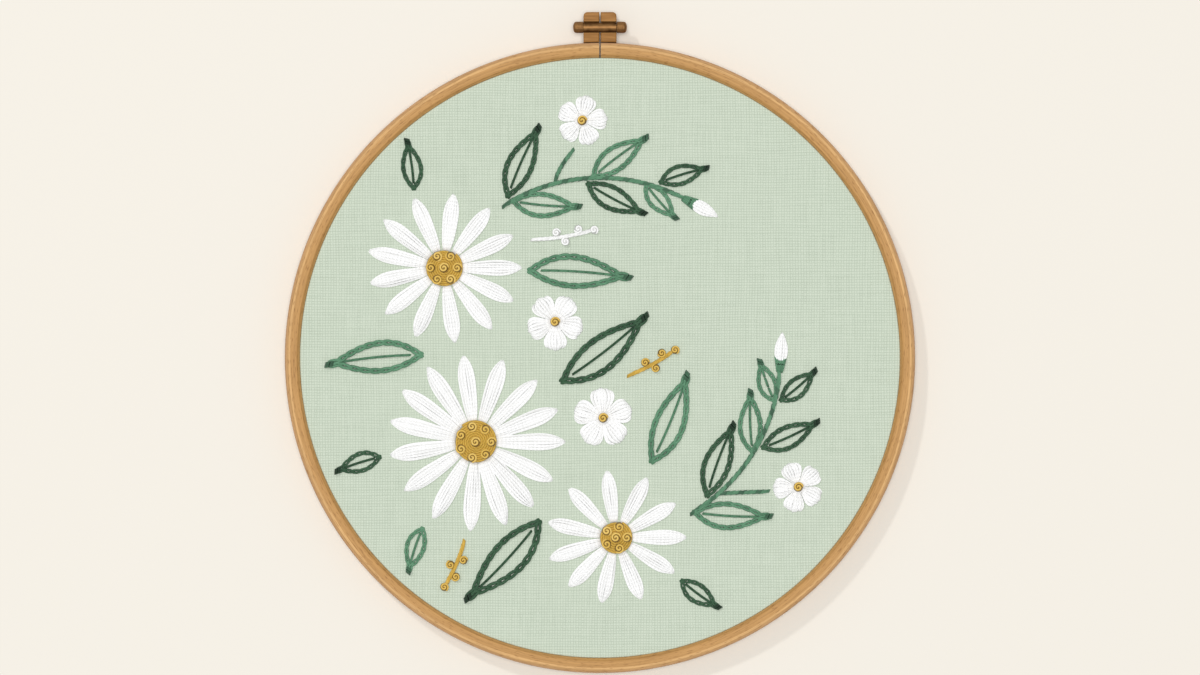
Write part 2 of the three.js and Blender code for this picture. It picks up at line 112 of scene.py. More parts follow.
# The clasp's screw
SCREW_DISTANCE = 110.2
SCREW_HEIGHT = 7.7
SCREW_END = 9.0
SCREW_SHOULDER = 5.52
SCREW_CROWN = 0.925
SCREW_HEAD_RADIUS = 1.85
SCREW_SHANK_RADIUS = 1.6
SCREW_THREAD_RADIUS = 0.9
THREAD_ENDS = 7.15
THREAD_PITCH = 0.4
THREAD_DEPTH = 0.14
BORE_GAP = 0.3
SEAT_GAP = 0.02
CHAMFER = 0.12
SLOT_DEPTH = 0.69
SLOT_HALF_TURN = 10
SLOT_LEAN = 0.02
KNURLS = 24
KNURL_DEPTH = 0.06
KNURL_MARGIN = 0.15
LATHE_SIDES = 144

# The stitching
HUB_HEIGHT = 0.5
CENTRE_CROWN = 1.3
KNOT_RADIUS = 1.7
KNOT_LIFT = 0.9
KNOT_TURNS = 1.6
DAISY_KNOT = 1.95
SMALL_FLOWER_KNOT = 1.9
PAD_THREAD = 0.42
PETAL_STEPS = 22
PETAL_DIP = 0.12
PETAL_GROOVE = 0.1
PETAL_SHORTENING = 1.2
PETAL_SWAY = 0.12
ROUND_PETAL_ROOT = 1.2
ROUND_PETAL_WIDTH = 0.86
ROUND_PETAL_END = 0.16
BACK_THREADS = 14
LEAF_SPREAD = 40
LEAF_BEND = 0.1
LEAF_WIDTH = 3.4
LEAF_WIDENING = 0.26
RIBBON_WIDTH = 1.1
RIBBON_WIDENING = 0.035
TIP_STITCH_GROWTH = 0.06
TIP_THREAD_GROWTH = 0.003
TIP_RISE = 0.5
EYE_OVERLAP = 0.6
PAD_SUNK = 0.45
MIDDLE_KNOT_SUNK = 0.5
OUTER_KNOT_SUNK = 0.35
KNOT_MARGIN = 0.3
SMALL_FLOWER_KNOT_RISE = 0.3
SPRIG_KNOT_RISE = 0.15
DARK_LEAF_GAP = 2.55
CUP_START = -0.5
CUP_END = 4.6
CUP_SIDES = (-1.35, -0.5, 0.5, 1.35)
BUD_ROOT = 2.6
BUD_TIP = 12.5
BUD_WIDTH = 5.0
SPRAY_CIRCLE = 60.0
SPRIG_BEND = 0.15


def rows_of(fields, *rows):
    """Rows of values as dictionaries with the fields' names."""
    return [dict(zip(fields.split(), row)) for row in rows]


# Where each motif lies about the hoop's centre, in mm and degrees. Side 1 is a motif's left and
# -1 its right. On a spray, "at" is a share of the stem's length, which goes from one angle to
# another.
DAISIES = rows_of(
    "name angle distance radius disc petals width knots",
    ("daisy_large", 214, 50, 30, 7.3, 15, 6.3, 7),
    ("daisy_middle", 150, 60, 26, 6.4, 13, 5.8, 6),
    ("daisy_small", 275, 60, 23.5, 5.7, 11, 5.6, 5),
)
SMALL_FLOWERS = rows_of(
    "name x y radius turn",
    ("small_flower_low", 1, -20, 10, 20),
    ("small_flower_middle", -15, 12, 9.5, 55),
    ("small_flower_top", -6, 79, 8.5, 5),
    ("small_flower_right", 66, -43, 8.5, 40),
)
TOP_LEAVES = rows_of(
    "at side length tone",
    (0.02, 1, 25, "dark"),
    (0.06, -1, 22, "mid"),
    (0.44, -1, 21, "dark"),
    (0.5, 1, 22, "mid"),
    (0.78, -1, 15, "mid"),
    (0.82, 1, 16, "dark"),
)
RIGHT_LEAVES = rows_of(
    "at side length tone",
    (0.02, -1, 25, "mid"),
    (0.1, 1, 25, "dark"),
    (0.5, 1, 20, "mid"),
    (0.52, -1, 20, "dark"),
    (0.8, -1, 15, "dark"),
    (0.82, 1, 14, "mid"),
)
SPRAYS = rows_of(
    "name from to branch leaves",
    ("spray_top", 123, 62, {"at": 0.3, "x": -8.5, "y": 69.5}, TOP_LEAVES),
    ("spray_right", 300, 356, {"at": 0.2, "x": 56.5, "y": -44.5}, RIGHT_LEAVES),
)
SINGLE_LEAVES = rows_of(
    "name x y direction length side tone",
    ("leaf_left", -59, 1, 180, 31, 1, "mid"),
    ("leaf_below", -20, -54, 233, 35, -1, "dark"),
    ("leaf_to_centre", -13, -8, 32, 35, 1, "dark"),
    ("leaf_inner_top", -24, 29, 2, 33, -1, "mid"),
    ("leaf_inner_low", 17, -35, 62, 31, 1, "mid"),
    ("leaf_tip_west", -73, -33, 192, 15, 1, "dark"),
    ("leaf_tip_south", -59, -56.5, 246, 15, 1, "mid"),
    ("leaf_tip_north", -62, 56, 92, 16, 1, "dark"),
    ("leaf_tip_low", 27, -74, 318, 15, 1, "dark"),
)
SPRIGS = rows_of(
    "name x y direction length side tone",
    ("sprig_centre", 9, -6, 20, 18, 1, "gold"),
    ("sprig_top", -23, 39.5, 0, 21, 1, "white"),
    ("sprig_below", -45, -60.5, 255, 17, -1, "gold"),
)
# Straight stitches, in mm: how far apart a stitch's threads lie, how long it is, the step to the
# next one, how far it slants across its line, its number of threads, and their radius
STEM_STITCH, BRANCH_STITCH, SPRIG_STITCH, VEIN_STITCH, TIP_COVER, CUP_STITCH = rows_of(
    "spacing length step slant threads radius",
    (0.36, 4.6, 2.3, 0.5, 3, 0.27),
    (0.34, 3.6, 1.8, 0.4, 3, 0.25),
    (0.34, 3.6, 1.8, 0.4, 3, 0.24),
    (0.36, 3.2, 2.9, 0.0, 2, 0.24),
    (0.42, 1.0, 3.0, 0.0, 4, 0.24),
    (0.5, 4.8, 6.0, 0.0, 2, 0.34),
)
# Share of a sprig's length, and side, of each of its knots
SPRIG_KNOTS = [(0.4, 1), (0.55, -1), (0.75, 1), (1.0, 0)]

# Half width of a petal at each share of its length, as a share of its greatest half width
LONG_PETAL = ([0, 0.25, 0.6, 0.86, 1], [0.5, 0.82, 1, 0.74, 0.16])
ROUND_PETAL = ([0, 0.4, 0.75, 1], [0.34, 0.84, 1, 0.48])
BUD = ([0, 0.4, 0.8, 1], [0.6, 1, 0.62, 0.2])


def unit(vectors):
    """Vectors of length one in the directions of the given ones."""
    return vectors / np.maximum(np.linalg.norm(vectors, axis=-1, keepdims=True), 1e-9)


def distances(line):
    """How far along a line of points each of them lies: the lengths of its steps added up."""
    return np.concatenate([[0], np.cumsum(np.linalg.norm(np.diff(line, axis=0), axis=1))])


def grid_faces(rows, columns, wrap):
    """The corners of a grid's quads, row by row; wrap joins the last column to the first."""
    last = columns if wrap else columns - 1
    i, k = np.meshgrid(np.arange(rows - 1), np.arange(last), indexing="ij")
    following = (k + 1) % columns
    this_row = i * columns
    next_row = this_row + columns
    corners_of = [this_row + k, next_row + k, next_row + following, this_row + following]
    return np.stack(corners_of, axis=-1).reshape(-1, 4)


def grid_map(lengthwise, across):
    """The UV of a grid's quads, from the value of each row and of each column's edges."""
    i, k = np.meshgrid(np.arange(len(lengthwise) - 1), np.arange(len(across) - 1), indexing="ij")
    u = np.stack([lengthwise[i], lengthwise[i + 1], lengthwise[i + 1], lengthwise[i]], axis=-1)
    v = np.stack([across[k], across[k], across[k + 1], across[k + 1]], axis=-1)
    return np.stack([u, v], axis=-1).reshape(-1, 4, 2)


def strands(paths, radius, sides=6, tone=0.5):
    """Round threads along paths given as strand, step and place. Each point of a path gets a ring
    of points: radius times the cosine of a turn along the side, plus radius times its sine along
    the rise, where side is the path's direction crossed with straight up, and rise is side crossed
    with the direction. Both ends are closed."""
    paths = np.asarray(paths, float)
    paths = paths.reshape(-1, *paths.shape[-2:])
    count, steps = paths.shape[:2]
    along = unit(np.gradient(paths, axis=1))
    side = unit(np.cross(along, [0.0, 0.0, 1.0]))
    rise = np.cross(side, along)
    size = np.asarray(radius, float)
    size = size[:, None] if size.ndim == 1 else size
    size = np.broadcast_to(size, (count, steps))[..., None, None]
    turn = 2 * np.pi * np.arange(sides) / sides
    ring = np.cos(turn)[:, None] * side[:, :, None] + np.sin(turn)[:, None] * rise[:, :, None]
    points = (paths[:, :, None] + size * ring).reshape(-1, 3)
    first = np.arange(count)[:, None, None] * steps * sides
    quads = grid_faces(steps, sides, True)[None] + first
    gone = np.linalg.norm(np.diff(paths, axis=1), axis=2)
    length = np.concatenate([np.zeros((count, 1)), np.cumsum(gone, axis=1)], axis=1)
    i, k = np.meshgrid(np.arange(steps - 1), np.arange(sides), indexing="ij")
    u = np.stack([length[:, i], length[:, i + 1], length[:, i + 1], length[:, i]], axis=-1)
    v = np.stack([k, k, k + 1, k + 1], axis=-1) / sides
    around = np.stack([u, np.broadcast_to(v, u.shape)], axis=-1)
    start_cap = np.arange(sides) + first[:, 0]
    end_cap = (steps - 1) * sides + np.arange(sides)[::-1] + first[:, 0]
    shade = np.broadcast_to(np.asarray(tone, float), (count,))
    return {
        "points": points,
        "quads": quads.reshape(-1, 4),
        "uv": around.reshape(-1, 2),
        "caps": np.concatenate([start_cap, end_cap]),
        "tone": np.repeat(shade, steps * sides),
    }


def piece(name, batches, material, replaces=(), smooth=True):
    """One closed mesh from batches of points and faces, set as whole arrays, riding on the
    hoop."""
    firsts = np.cumsum([0] + [len(batch["points"]) for batch in batches])
    quads = [batch["quads"] + first for batch, first in zip(batches, firsts)]
    caps = [batch["caps"] + first for batch, first in zip(batches, firsts) if "caps" in batch]
    faces = quads + caps
    points = (np.concatenate([batch["points"] for batch in batches]) + HOOP_CENTRE) * MM
    corner = np.concatenate([face.ravel() for face in faces])
    sizes = np.concatenate([np.full(len(face), face.shape[1]) for face in faces])
    uv = np.zeros((len(corner), 2))
    mapped = np.concatenate([batch["uv"].reshape(-1, 2) for batch in batches])
    uv[:len(mapped)] = mapped
    tone = np.concatenate([
        np.broadcast_to(np.asarray(batch.get("tone", 0.5), float), (len(batch["points"]),))
        for batch in batches
    ])
    mesh = bpy.data.meshes.new(name)
    mesh.vertices.add(len(points))
    mesh.vertices.foreach_set("co", points.ravel())
    mesh.loops.add(len(corner))
    mesh.loops.foreach_set("vertex_index", corner.astype(np.int32))
    mesh.polygons.add(len(sizes))
    mesh.polygons.foreach_set("loop_start", (np.cumsum(sizes) - sizes).astype(np.int32))
    mesh.polygons.foreach_set("use_smooth", np.full(len(sizes), smooth))
    mesh.uv_layers.new(name="lay").data.foreach_set("uv", uv.ravel())
    mesh.attributes.new("tone", "FLOAT", "POINT").data.foreach_set("value", tone)
    mesh.update(calc_edges=True)
    mesh.validate()
    made = bpy.data.objects.new(name, mesh)
    bpy.context.collection.objects.link(made)
    mesh.materials.append(material)
    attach(made, "root")
    if replaces:
        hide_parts(*replaces)
    return made


# Materials

def linear(hex_colour):
    """An sRGB hex colour as the linear colour that a shader takes."""
    parts = [int(hex_colour[i:i + 2], 16) / 255 for i in (1, 3, 5)]
    return [p / 12.92 if p <= 0.04045 else ((p + 0.055) / 1.055) ** 2.4 for p in parts] + [1.0]


def node(tree, kind, settings=None, inputs=None, stops=()):
    """Adds one shader node of a kind with its settings by name, a ramp's stops as places and hex
    colours, and its inputs by socket or in order. An input is a number, a socket, or a node for
    its first output."""
    made = tree.nodes.new("ShaderNode" + kind)
    for name, value in (settings or {}).items():
        setattr(made, name, value)
    for place, _ in stops[2:]:
        made.color_ramp.elements.new(place)
    for number, (place, colour) in enumerate(stops):
        made.color_ramp.elements[number].position = place
        made.color_ramp.elements[number].color = linear(colour)
    pairs = inputs.items() if isinstance(inputs, dict) else enumerate(inputs or ())
    for name, value in pairs:
        if isinstance(value, bpy.types.Node):
            value = value.outputs[0]
        if isinstance(value, bpy.types.NodeSocket):
            tree.links.new(value, made.inputs[name])
        else:
            made.inputs[name].default_value = value
    return made


def new_material(name):
    """A bare material and its empty node tree."""
    material = bpy.data.materials.new(name)
    material.use_nodes = True
    material.node_tree.nodes.clear()
    return material, material.node_tree


def per_metre(size_mm):
    """How many patterns of a size in mm go to a metre: a texture's scale on Object coordinates."""
    return 1 / (size_mm * MM)


MULTIPLY = {"operation": "MULTIPLY"}
MULTIPLY_ADD = {"operation": "MULTIPLY_ADD"}
SINE = {"operation": "SINE"}
POWER = {"operation": "POWER"}


def stranded_cotton(name, shades, roughness, sheen):
    """Mercerised stranded cotton: silky, each strand twisted from plies, so that fine slanting
    ribs run round it, and slightly uneven in colour along its length. Ribs: pitch 1.3 mm. The
    shades go from the darkest thread to the lightest."""
    material, tree = new_material(name)
    lay = node(tree, "UVMap", {"uv_map": "lay"})
    parts = node(tree, "SeparateXYZ", inputs=[lay])
    along = node(tree, "Math", MULTIPLY, [parts.outputs[0], 2 * math.pi / PLY_PITCH])
    turned = node(tree, "Math", MULTIPLY_ADD, [parts.outputs[1], 4 * math.pi, along])
    ribs = node(tree, "Math", SINE, [turned])
    tone = node(tree, "Attribute", {"attribute_name": "tone"})
    place = node(tree, "TexCoord").outputs["Object"]
    # Uneven dye in patches of about 4 mm
    uneven = node(tree, "TexNoise", inputs={
        "Vector": place, "Scale": per_metre(3.85), "Detail": 2.0,
    })
    varied = node(tree, "Math", MULTIPLY_ADD, [uneven, 0.3, -0.15])
    shade = node(tree, "Math", {"operation": "ADD"}, [tone.outputs["Fac"], varied])
    # Painted shade and light: the colour darkens in the grooves between the plies and lightens on
    # their ribs
    painted_rib_shade = node(tree, "Math", MULTIPLY_ADD, [ribs, 0.08, shade])
    stops = list(zip((0.0, 0.35, 0.6, 1.0), shades))
    colour = node(tree, "ValToRGB", inputs=[painted_rib_shade], stops=stops)
    bump = node(tree, "Bump", inputs={"Height": ribs, "Strength": 0.5, "Distance": 0.05 * MM})
    cover = node(tree, "BsdfPrincipled", inputs={
        "Base Color": colour, "Roughness": roughness, "Specular IOR Level": 0.35,
        "Sheen Weight": sheen, "Sheen Roughness": 0.4, "Normal": bump,
    })
    node(tree, "OutputMaterial", inputs={"Surface": cover})
    return material


def bent_beech(name, bands, roughness):
    """Steam-bent beech under a thin wax: the grain runs round the hoop, with short darker flecks
    along it, and bands of colour run round its front: a darker band on the inner bevel is
    painted shade, a paler line near the outer edge is a painted highlight, and lighter colour at
    the bevel's foot and on the outer rounding is painted light. The bands are radii in mm, with a
    colour each."""
    material, tree = new_material(name)
    place = node(tree, "TexCoord").outputs["Object"]
    centre = tuple(HOOP_CENTRE * MM)
    from_centre = node(tree, "VectorMath", {"operation": "SUBTRACT"}, [place, centre])
    level = node(tree, "VectorMath", MULTIPLY, [from_centre, (1, 1, 0)])
    radius = node(tree, "VectorMath", {"operation": "LENGTH"}, [level])
    lay = node(tree, "UVMap", {"uv_map": "lay"})
    # The wander of the lines, the grain lines and the flecks: mm along the grain, mm across it
    slow = node(tree, "Mapping", inputs={"Vector": lay, "Scale": (1 / 40, 1 / 3.3, 1)})
    wander = node(tree, "TexNoise", inputs={"Vector": slow, "Scale": 1.0, "Detail": 2.0})
    fine = node(tree, "Mapping", inputs={"Vector": lay, "Scale": (1 / 20, 1 / 0.53, 1)})
    grain = node(tree, "TexNoise", inputs={
        "Vector": fine, "Scale": 1.0, "Detail": 5.0, "Roughness": 0.65,
    })
    short = node(tree, "Mapping", inputs={"Vector": lay, "Scale": (1 / 2.5, 1 / 0.31, 1)})
    flecks = node(tree, "TexNoise", inputs={"Vector": short, "Scale": 1.0, "Detail": 1.0})
    in_mm = node(tree, "Math", MULTIPLY, [radius.outputs["Value"], 1 / MM])
    shifted = node(tree, "Math", MULTIPLY_ADD, [wander, 0.2, in_mm])
    first, last = bands[0][0], bands[-1][0]
    reach = last - first
    share = node(tree, "Math", MULTIPLY_ADD, [shifted, 1 / reach, -(first + 0.1) / reach])
    # Colour by radius: painted shade on the bevel, a painted highlight near the outer edge, and
    # painted light at the bevel's foot and on the outer rounding
    bands_with_painted_light = node(tree, "ValToRGB", inputs=[share],
                  stops=[((radius_mm - first) / reach, colour) for radius_mm, colour in bands])
    lines = node(tree, "ValToRGB", inputs=[grain], stops=[(0.3, "#B9B0A6"), (0.62, "#FFFFFF")])
    marks = node(tree, "ValToRGB", inputs=[flecks], stops=[(0.3, "#B5A08C"), (0.42, "#FFFFFF")])
    darken = {"data_type": "RGBA", "blend_type": "MULTIPLY"}
    grained = node(tree, "Mix", darken, {0: 0.55, 6: bands_with_painted_light, 7: lines})
    flecked = node(tree, "Mix", darken, {0: 0.6, 6: grained.outputs[2], 7: marks})
    bump = node(tree, "Bump", inputs={"Height": grain, "Strength": 0.35, "Distance": 0.08 * MM})
    cover = node(tree, "BsdfPrincipled", inputs={
        "Base Color": flecked.outputs[2], "Roughness": roughness, "Specular IOR Level": 0.25,
        "Normal": bump,
    })
    node(tree, "OutputMaterial", inputs={"Surface": cover})
    return material


def stained_beech():
    """Stained beech block, lightly waxed: straight fine grain along the hoop's edge, darker
    pores."""
    material, tree = new_material("stained_beech")
    place = node(tree, "TexCoord").outputs["Object"]
    # Grain lines about 0.5 mm apart, drawn out 8 mm along the block
    grain_scale = [per_metre(size) for size in (8.3, 0.53, 0.67)]
    fine = node(tree, "Mapping", inputs={"Vector": place, "Scale": grain_scale})
    grain = node(tree, "TexNoise", inputs={"Vector": fine, "Scale": 1.0, "Detail": 4.0})
    colour = node(tree, "ValToRGB", inputs=[grain],
                  stops=[(0.3, "#8A5E2B"), (0.5, "#9F6F38"), (0.72, "#B18047")])
    bump = node(tree, "Bump", inputs={"Height": grain, "Strength": 0.3, "Distance": 0.08 * MM})
    cover = node(tree, "BsdfPrincipled", inputs={
        "Base Color": colour, "Roughness": 0.6, "Specular IOR Level": 0.2, "Normal": bump,
    })
    node(tree, "OutputMaterial", inputs={"Surface": cover})
    return material


def aged_brass():
    """Turned brass gone brown with age: dull warm metal, darker where it isn't rubbed, with the
    fine rings that the lathe leaves."""
    material, tree = new_material("aged_brass")
    place = node(tree, "TexCoord").outputs["Object"]
    # Tarnish in patches of about 2 mm
    tarnish = node(tree, "TexNoise", inputs={
        "Vector": place, "Scale": per_metre(2.22), "Detail": 4.0,
    })
    # Turning marks 0.125 mm apart along the screw
    ring_scale = [per_metre(size) for size in (0.125, 25, 25)]
    rings = node(tree, "Mapping", inputs={"Vector": place, "Scale": ring_scale})
    marks = node(tree, "TexNoise", inputs={"Vector": rings, "Scale": 1.0, "Detail": 1.0})
    colour = node(tree, "ValToRGB", inputs=[tarnish],
                  stops=[(0.3, "#6B4A28"), (0.5, "#8D663B"), (0.75, "#A77D4D")])
    dull = node(tree, "Math", MULTIPLY_ADD, [tarnish, 0.3, 0.37])
    bump = node(tree, "Bump", inputs={"Height": marks, "Strength": 0.25, "Distance": 0.02 * MM})
    cover = node(tree, "BsdfPrincipled", inputs={
        "Base Color": colour, "Metallic": 0.8, "Roughness": dull, "Normal": bump,
    })
    node(tree, "OutputMaterial", inputs={"Surface": cover})
    return material


def evenweave():
    """Sage evenweave cotton, matt: plain weave of round threads 0.9 mm apart (28 to the inch), a
    warp thread on top at every second crossing and long in its own direction there, with slubs
    that run along the threads."""
    material, tree = new_material("sage_evenweave")
    place = node(tree, "TexCoord").outputs["Object"]
    # Stretching in the hoop pulls the threads out of line by about half a millimetre, in waves of
    # 3 cm.
    drift = node(tree, "TexNoise", inputs={
        "Vector": place, "Scale": per_metre(28.6), "Detail": 1.0,
    })
    pulled = node(tree, "VectorMath", MULTIPLY_ADD,
                  [drift.outputs["Color"], (1.2 * MM, 1.2 * MM, 0), place])
    parts = node(tree, "SeparateXYZ", inputs=[pulled])
    pitch = math.pi / (WEAVE_PITCH * MM)
    warp = node(tree, "Math", MULTIPLY, [parts.outputs[0], pitch])
    weft = node(tree, "Math", MULTIPLY, [parts.outputs[1], pitch])
    across_warp = node(tree, "Math", SINE, [warp])
    across_weft = node(tree, "Math", SINE, [weft])
    crossing = node(tree, "Math", MULTIPLY, [across_warp, across_weft])
    warp_on_top = node(tree, "Math", {"operation": "GREATER_THAN"}, [crossing, 0.0])
    # The thread on top is round across and nearly level along: powers of 1.1 and 0.2
    x_power = node(tree, "Math", MULTIPLY_ADD, [warp_on_top, 0.9, 0.2])
    y_power = node(tree, "Math", MULTIPLY_ADD, [warp_on_top, -0.9, 1.1])
    x_size = node(tree, "Math", {"operation": "ABSOLUTE"}, [across_warp])
    y_size = node(tree, "Math", {"operation": "ABSOLUTE"}, [across_weft])
    x_round = node(tree, "Math", POWER, [x_size, x_power])
    y_round = node(tree, "Math", POWER, [y_size, y_power])
    height = node(tree, "Math", MULTIPLY, [x_round, y_round])
    # Slubs one thread wide and about 12 mm long
    wide, long = per_metre(0.91), per_metre(12.5)
    warp_way = node(tree, "Mapping", inputs={"Vector": pulled, "Scale": (wide, long, 1)})
    weft_way = node(tree, "Mapping", inputs={"Vector": pulled, "Scale": (long, wide, 1)})
    warp_slub = node(tree, "TexNoise", inputs={"Vector": warp_way, "Scale": 1.0})
    weft_slub = node(tree, "TexNoise", inputs={"Vector": weft_way, "Scale": 1.0})
    slub = node(tree, "Mix", {"data_type": "FLOAT"}, {0: warp_on_top, 2: warp_slub, 3: weft_slub})
    thick = node(tree, "Math", MULTIPLY, [slub, 0.6])
    # Painted shade: the colour is darker where the weave lies low between the threads, and the
    # slubs vary it as well
    depth = node(tree, "Math", MULTIPLY_ADD, [height, 0.45, thick])
    colour = node(tree, "ValToRGB", inputs=[depth],
                  stops=[(0.2, "#B4BFAC"), (0.5, "#C8D4C1"), (0.8, "#D3DDCB")])
    relief = node(tree, "Math", MULTIPLY_ADD, [slub, 0.5, height])
    bump = node(tree, "Bump", inputs={"Height": relief, "Strength": 0.7, "Distance": 0.15 * MM})
    cover = node(tree, "BsdfPrincipled", inputs={
        "Base Color": colour, "Roughness": 0.9, "Sheen Weight": 0.15, "Sheen Roughness": 0.6,
        "Specular IOR Level": 0.2, "Normal": bump,
    })
    node(tree, "OutputMaterial", inputs={"Surface": cover})
    return material


def cream_paper():
    """Matt cream paper, which the hoop lies on: no gloss, only the soft shadow shows on it."""
    material, tree = new_material("cream_paper")
    cover = node(tree, "BsdfDiffuse", inputs={"Color": linear("#EFEAE0")})
    node(tree, "OutputMaterial", inputs={"Surface": cover})
    return material


# Radii in mm and colours: the darker band round 100.7 on the bevel is painted shade, the pale line
# from 103.25 to 103.75 is a painted highlight, and the lighter colours at 99.9 and 104.9 are
# painted light
BEECH_BANDS = [
    (99.9, "#D8AA6C"), (100.7, "#B98B51"), (101.1, "#CA9A5D"), (103.1, "#CB9B5F"),
    (103.25, "#E1B377"), (103.75, "#E1B377"), (103.95, "#C89C64"), (104.9, "#D0A479"),
]
beech = bent_beech("bent_beech", BEECH_BANDS, 0.6)
inner_beech = bent_beech("inner_beech", [(94.4, "#CCA46F"), (98.4, "#C59B66")], 0.6)
dark_beech = stained_beech()
brass = aged_brass()
cloth = evenweave()
WHITE = stranded_cotton("white_cotton", ("#CFCFCC", "#E9E9E7", "#FCFCFB", "#FFFFFF"), 0.6, 0.4)
GOLD = stranded_cotton("gold_cotton", ("#7A5C1B", "#BC983A", "#DAB24B", "#F0CE75"), 0.6, 0.15)
MID = stranded_cotton("mid_green_cotton", ("#3C5C47", "#4F7A5D", "#5D8E6D", "#7BA989"), 0.65, 0.2)
DARK = stranded_cotton(
    "dark_green_cotton", ("#1E3123", "#2A4A32", "#36593E", "#4F7456"), 0.65, 0.12)
TONES = {
    "white": (WHITE, "white_thread"),
    "gold": (GOLD, "gold_thread"),
    "mid": (MID, "mid_green_thread"),
    "dark": (DARK, "dark_green_thread"),
}


# The hoop's pieces

def ring_of(profile, first_angle, last_angle, steps, closed):
    """A closed outline of [radius, height] points, anticlockwise, carried round the hoop's centre:
    each point goes to radius times cosine, radius times sine, height. Its map is in mm."""
    outline = np.array(profile, float)
    angles = np.radians(np.linspace(first_angle, last_angle, steps))
    x = np.cos(angles)[:, None] * outline[:, 0]
    y = np.sin(angles)[:, None] * outline[:, 0]
    z = np.broadcast_to(outline[:, 1], x.shape)
    points = np.stack([x, y, z], axis=-1).reshape(-1, 3)
    columns = len(outline)
    across = distances(np.append(outline, outline[:1], axis=0))
    made = {
        "points": points,
        "quads": grid_faces(steps, columns, True),
        "uv": grid_map(angles * HOOP_RADIUS, across),
    }
    if closed:
        made["quads"] = np.where(made["quads"] >= (steps - 1) * columns,
                                 made["quads"] - (steps - 1) * columns, made["quads"])
        made["points"] = points[:(steps - 1) * columns]
    else:
        ends = np.arange(columns)
        made["caps"] = np.stack([ends, (steps - 1) * columns + ends[::-1]])
    return made


def rounded(centre, radius, start, turns, steps):
    """Points on an arc, from a start angle through a number of degrees."""
    angles = np.radians(np.linspace(start, start + turns, steps))
    return np.array(centre) + radius * np.stack([np.cos(angles), np.sin(angles)], axis=-1)


def spread(outline, most):
    """Points along an outline's sides, so that none is further than most from the next: each side
    is cut into equal parts, as many as its length over most, rounded up."""
    sides = np.roll(outline, -1, axis=0) - outline
    parts = np.maximum(np.ceil(np.hypot(*sides.T) / most), 1).astype(int)
    firsts = np.cumsum(parts) - parts
    share = (np.arange(parts.sum()) - np.repeat(firsts, parts)) / np.repeat(parts, parts)
    return np.repeat(outline, parts, axis=0) + share[:, None] * np.repeat(sides, parts, axis=0)


def keep_edges_crisp(made):
    """Shades a piece smooth except at edges that turn by more than the crisp angle."""
    made.data.set_sharp_from_angle(angle=math.radians(CRISP_ANGLE))


def make_rings():
    """The two hoops. The outer one's outline is a rectangle, with its back edges and its outer
    front edge rounded and its inner front edge bevelled, and it goes round from one side of the
    saw gap to the other. The inner one's is a rectangle with rounded edges, and it is closed."""
    inside = HOOP_RADIUS - OUTER_WALL
    ease = EASED_EDGE
    front = FRONT_ROUNDING
    bevel = INNER_BEVEL
    outline = np.concatenate([
        rounded((inside + ease, ease), ease, 180, 90, 4),
        rounded((HOOP_RADIUS - ease, ease), ease, 270, 90, 4),
        rounded((HOOP_RADIUS - front, HOOP_DEPTH - front), front, 0, 90, 8),
        [[inside + bevel + BEVEL_EASED_OVER, HOOP_DEPTH]],
        [[inside + bevel - BEVEL_EASED_BY, HOOP_DEPTH - BEVEL_EASED_BY]],
        [[inside + BEVEL_EASED_BY, HOOP_DEPTH - bevel + BEVEL_EASED_BY]],
        [[inside, HOOP_DEPTH - bevel - BEVEL_EASED_OVER]],
    ])
    half_gap = math.degrees(SAW_GAP / 2 / inside)
    outer = ring_of(spread(outline, 1.2), 90 + half_gap, 450 - half_gap, OUTER_RING_STEPS, False)
    keep_edges_crisp(piece("outer_hoop", [outer], beech, ["outer_ring"]))
    inside = INNER_RING_INSIDE
    outside = INNER_RING_OUTSIDE
    back = INNER_RING_BACK
    top = INNER_RING_FRONT
    outline = np.concatenate([
        rounded((inside + ease, back + ease), ease, 180, 90, 4),
        rounded((outside - ease, back + ease), ease, 270, 90, 4),
        rounded((outside - ease, top - ease), ease, 0, 90, 4),
        rounded((inside + ease, top - ease), ease, 90, 90, 4),
    ])
    inner = ring_of(spread(outline, 1.5), 0, 360, INNER_RING_STEPS, True)
    piece("inner_hoop", [inner], inner_beech, ["inner_ring"])


def knurled(along, turn, first, last):
    """What knurling adds to a radius between two places along the screw: its depth times the
    product of two sine waves that cross the surface slantwise."""
    around = KNURLS / 2 * turn
    slant = KNURLS / 2 * along / SCREW_HEAD_RADIUS
    pattern = np.sin(around + slant) * np.sin(around - slant)
    return np.where((along > first) & (along < last), KNURL_DEPTH * pattern, 0)


def threaded(along, turn):
    """What the thread takes off a radius past the shoulder: its depth times half of one plus the
    cosine of a turn that goes round once to a pitch."""
    groove = THREAD_DEPTH * (0.5 + 0.5 * np.cos(2 * np.pi * along / THREAD_PITCH - turn))
    return np.where(along > SCREW_SHOULDER + 0.05, -groove, 0)


def lathe_along_x(outline, relief, open_start=False):
    """An outline of [radius, along] points turned about the screw's axis: each goes to along,
    radius times cosine, radius times sine. The relief is a function of the place along and of the
    turn that gives what is added to the radius."""
    sides = LATHE_SIDES
    turn = -2 * np.pi * np.arange(sides) / sides
    radius = outline[:, :1] + relief(outline[:, 1:], turn)
    y = SCREW_DISTANCE + radius * np.cos(turn)
    z = SCREW_HEIGHT + radius * np.sin(turn)
    x = np.broadcast_to(outline[:, 1:], y.shape)
    rows = len(outline)
    ends = np.arange(sides)
    caps = [ends, (rows - 1) * sides + ends[::-1]]
    return {
        "points": np.stack([x, y, z], axis=-1).reshape(-1, 3),
        "quads": grid_faces(rows, sides, True),
        "uv": grid_map(distances(outline), np.arange(sides + 1) / sides),
        "caps": np.stack(caps[1:] if open_start else caps),
    }


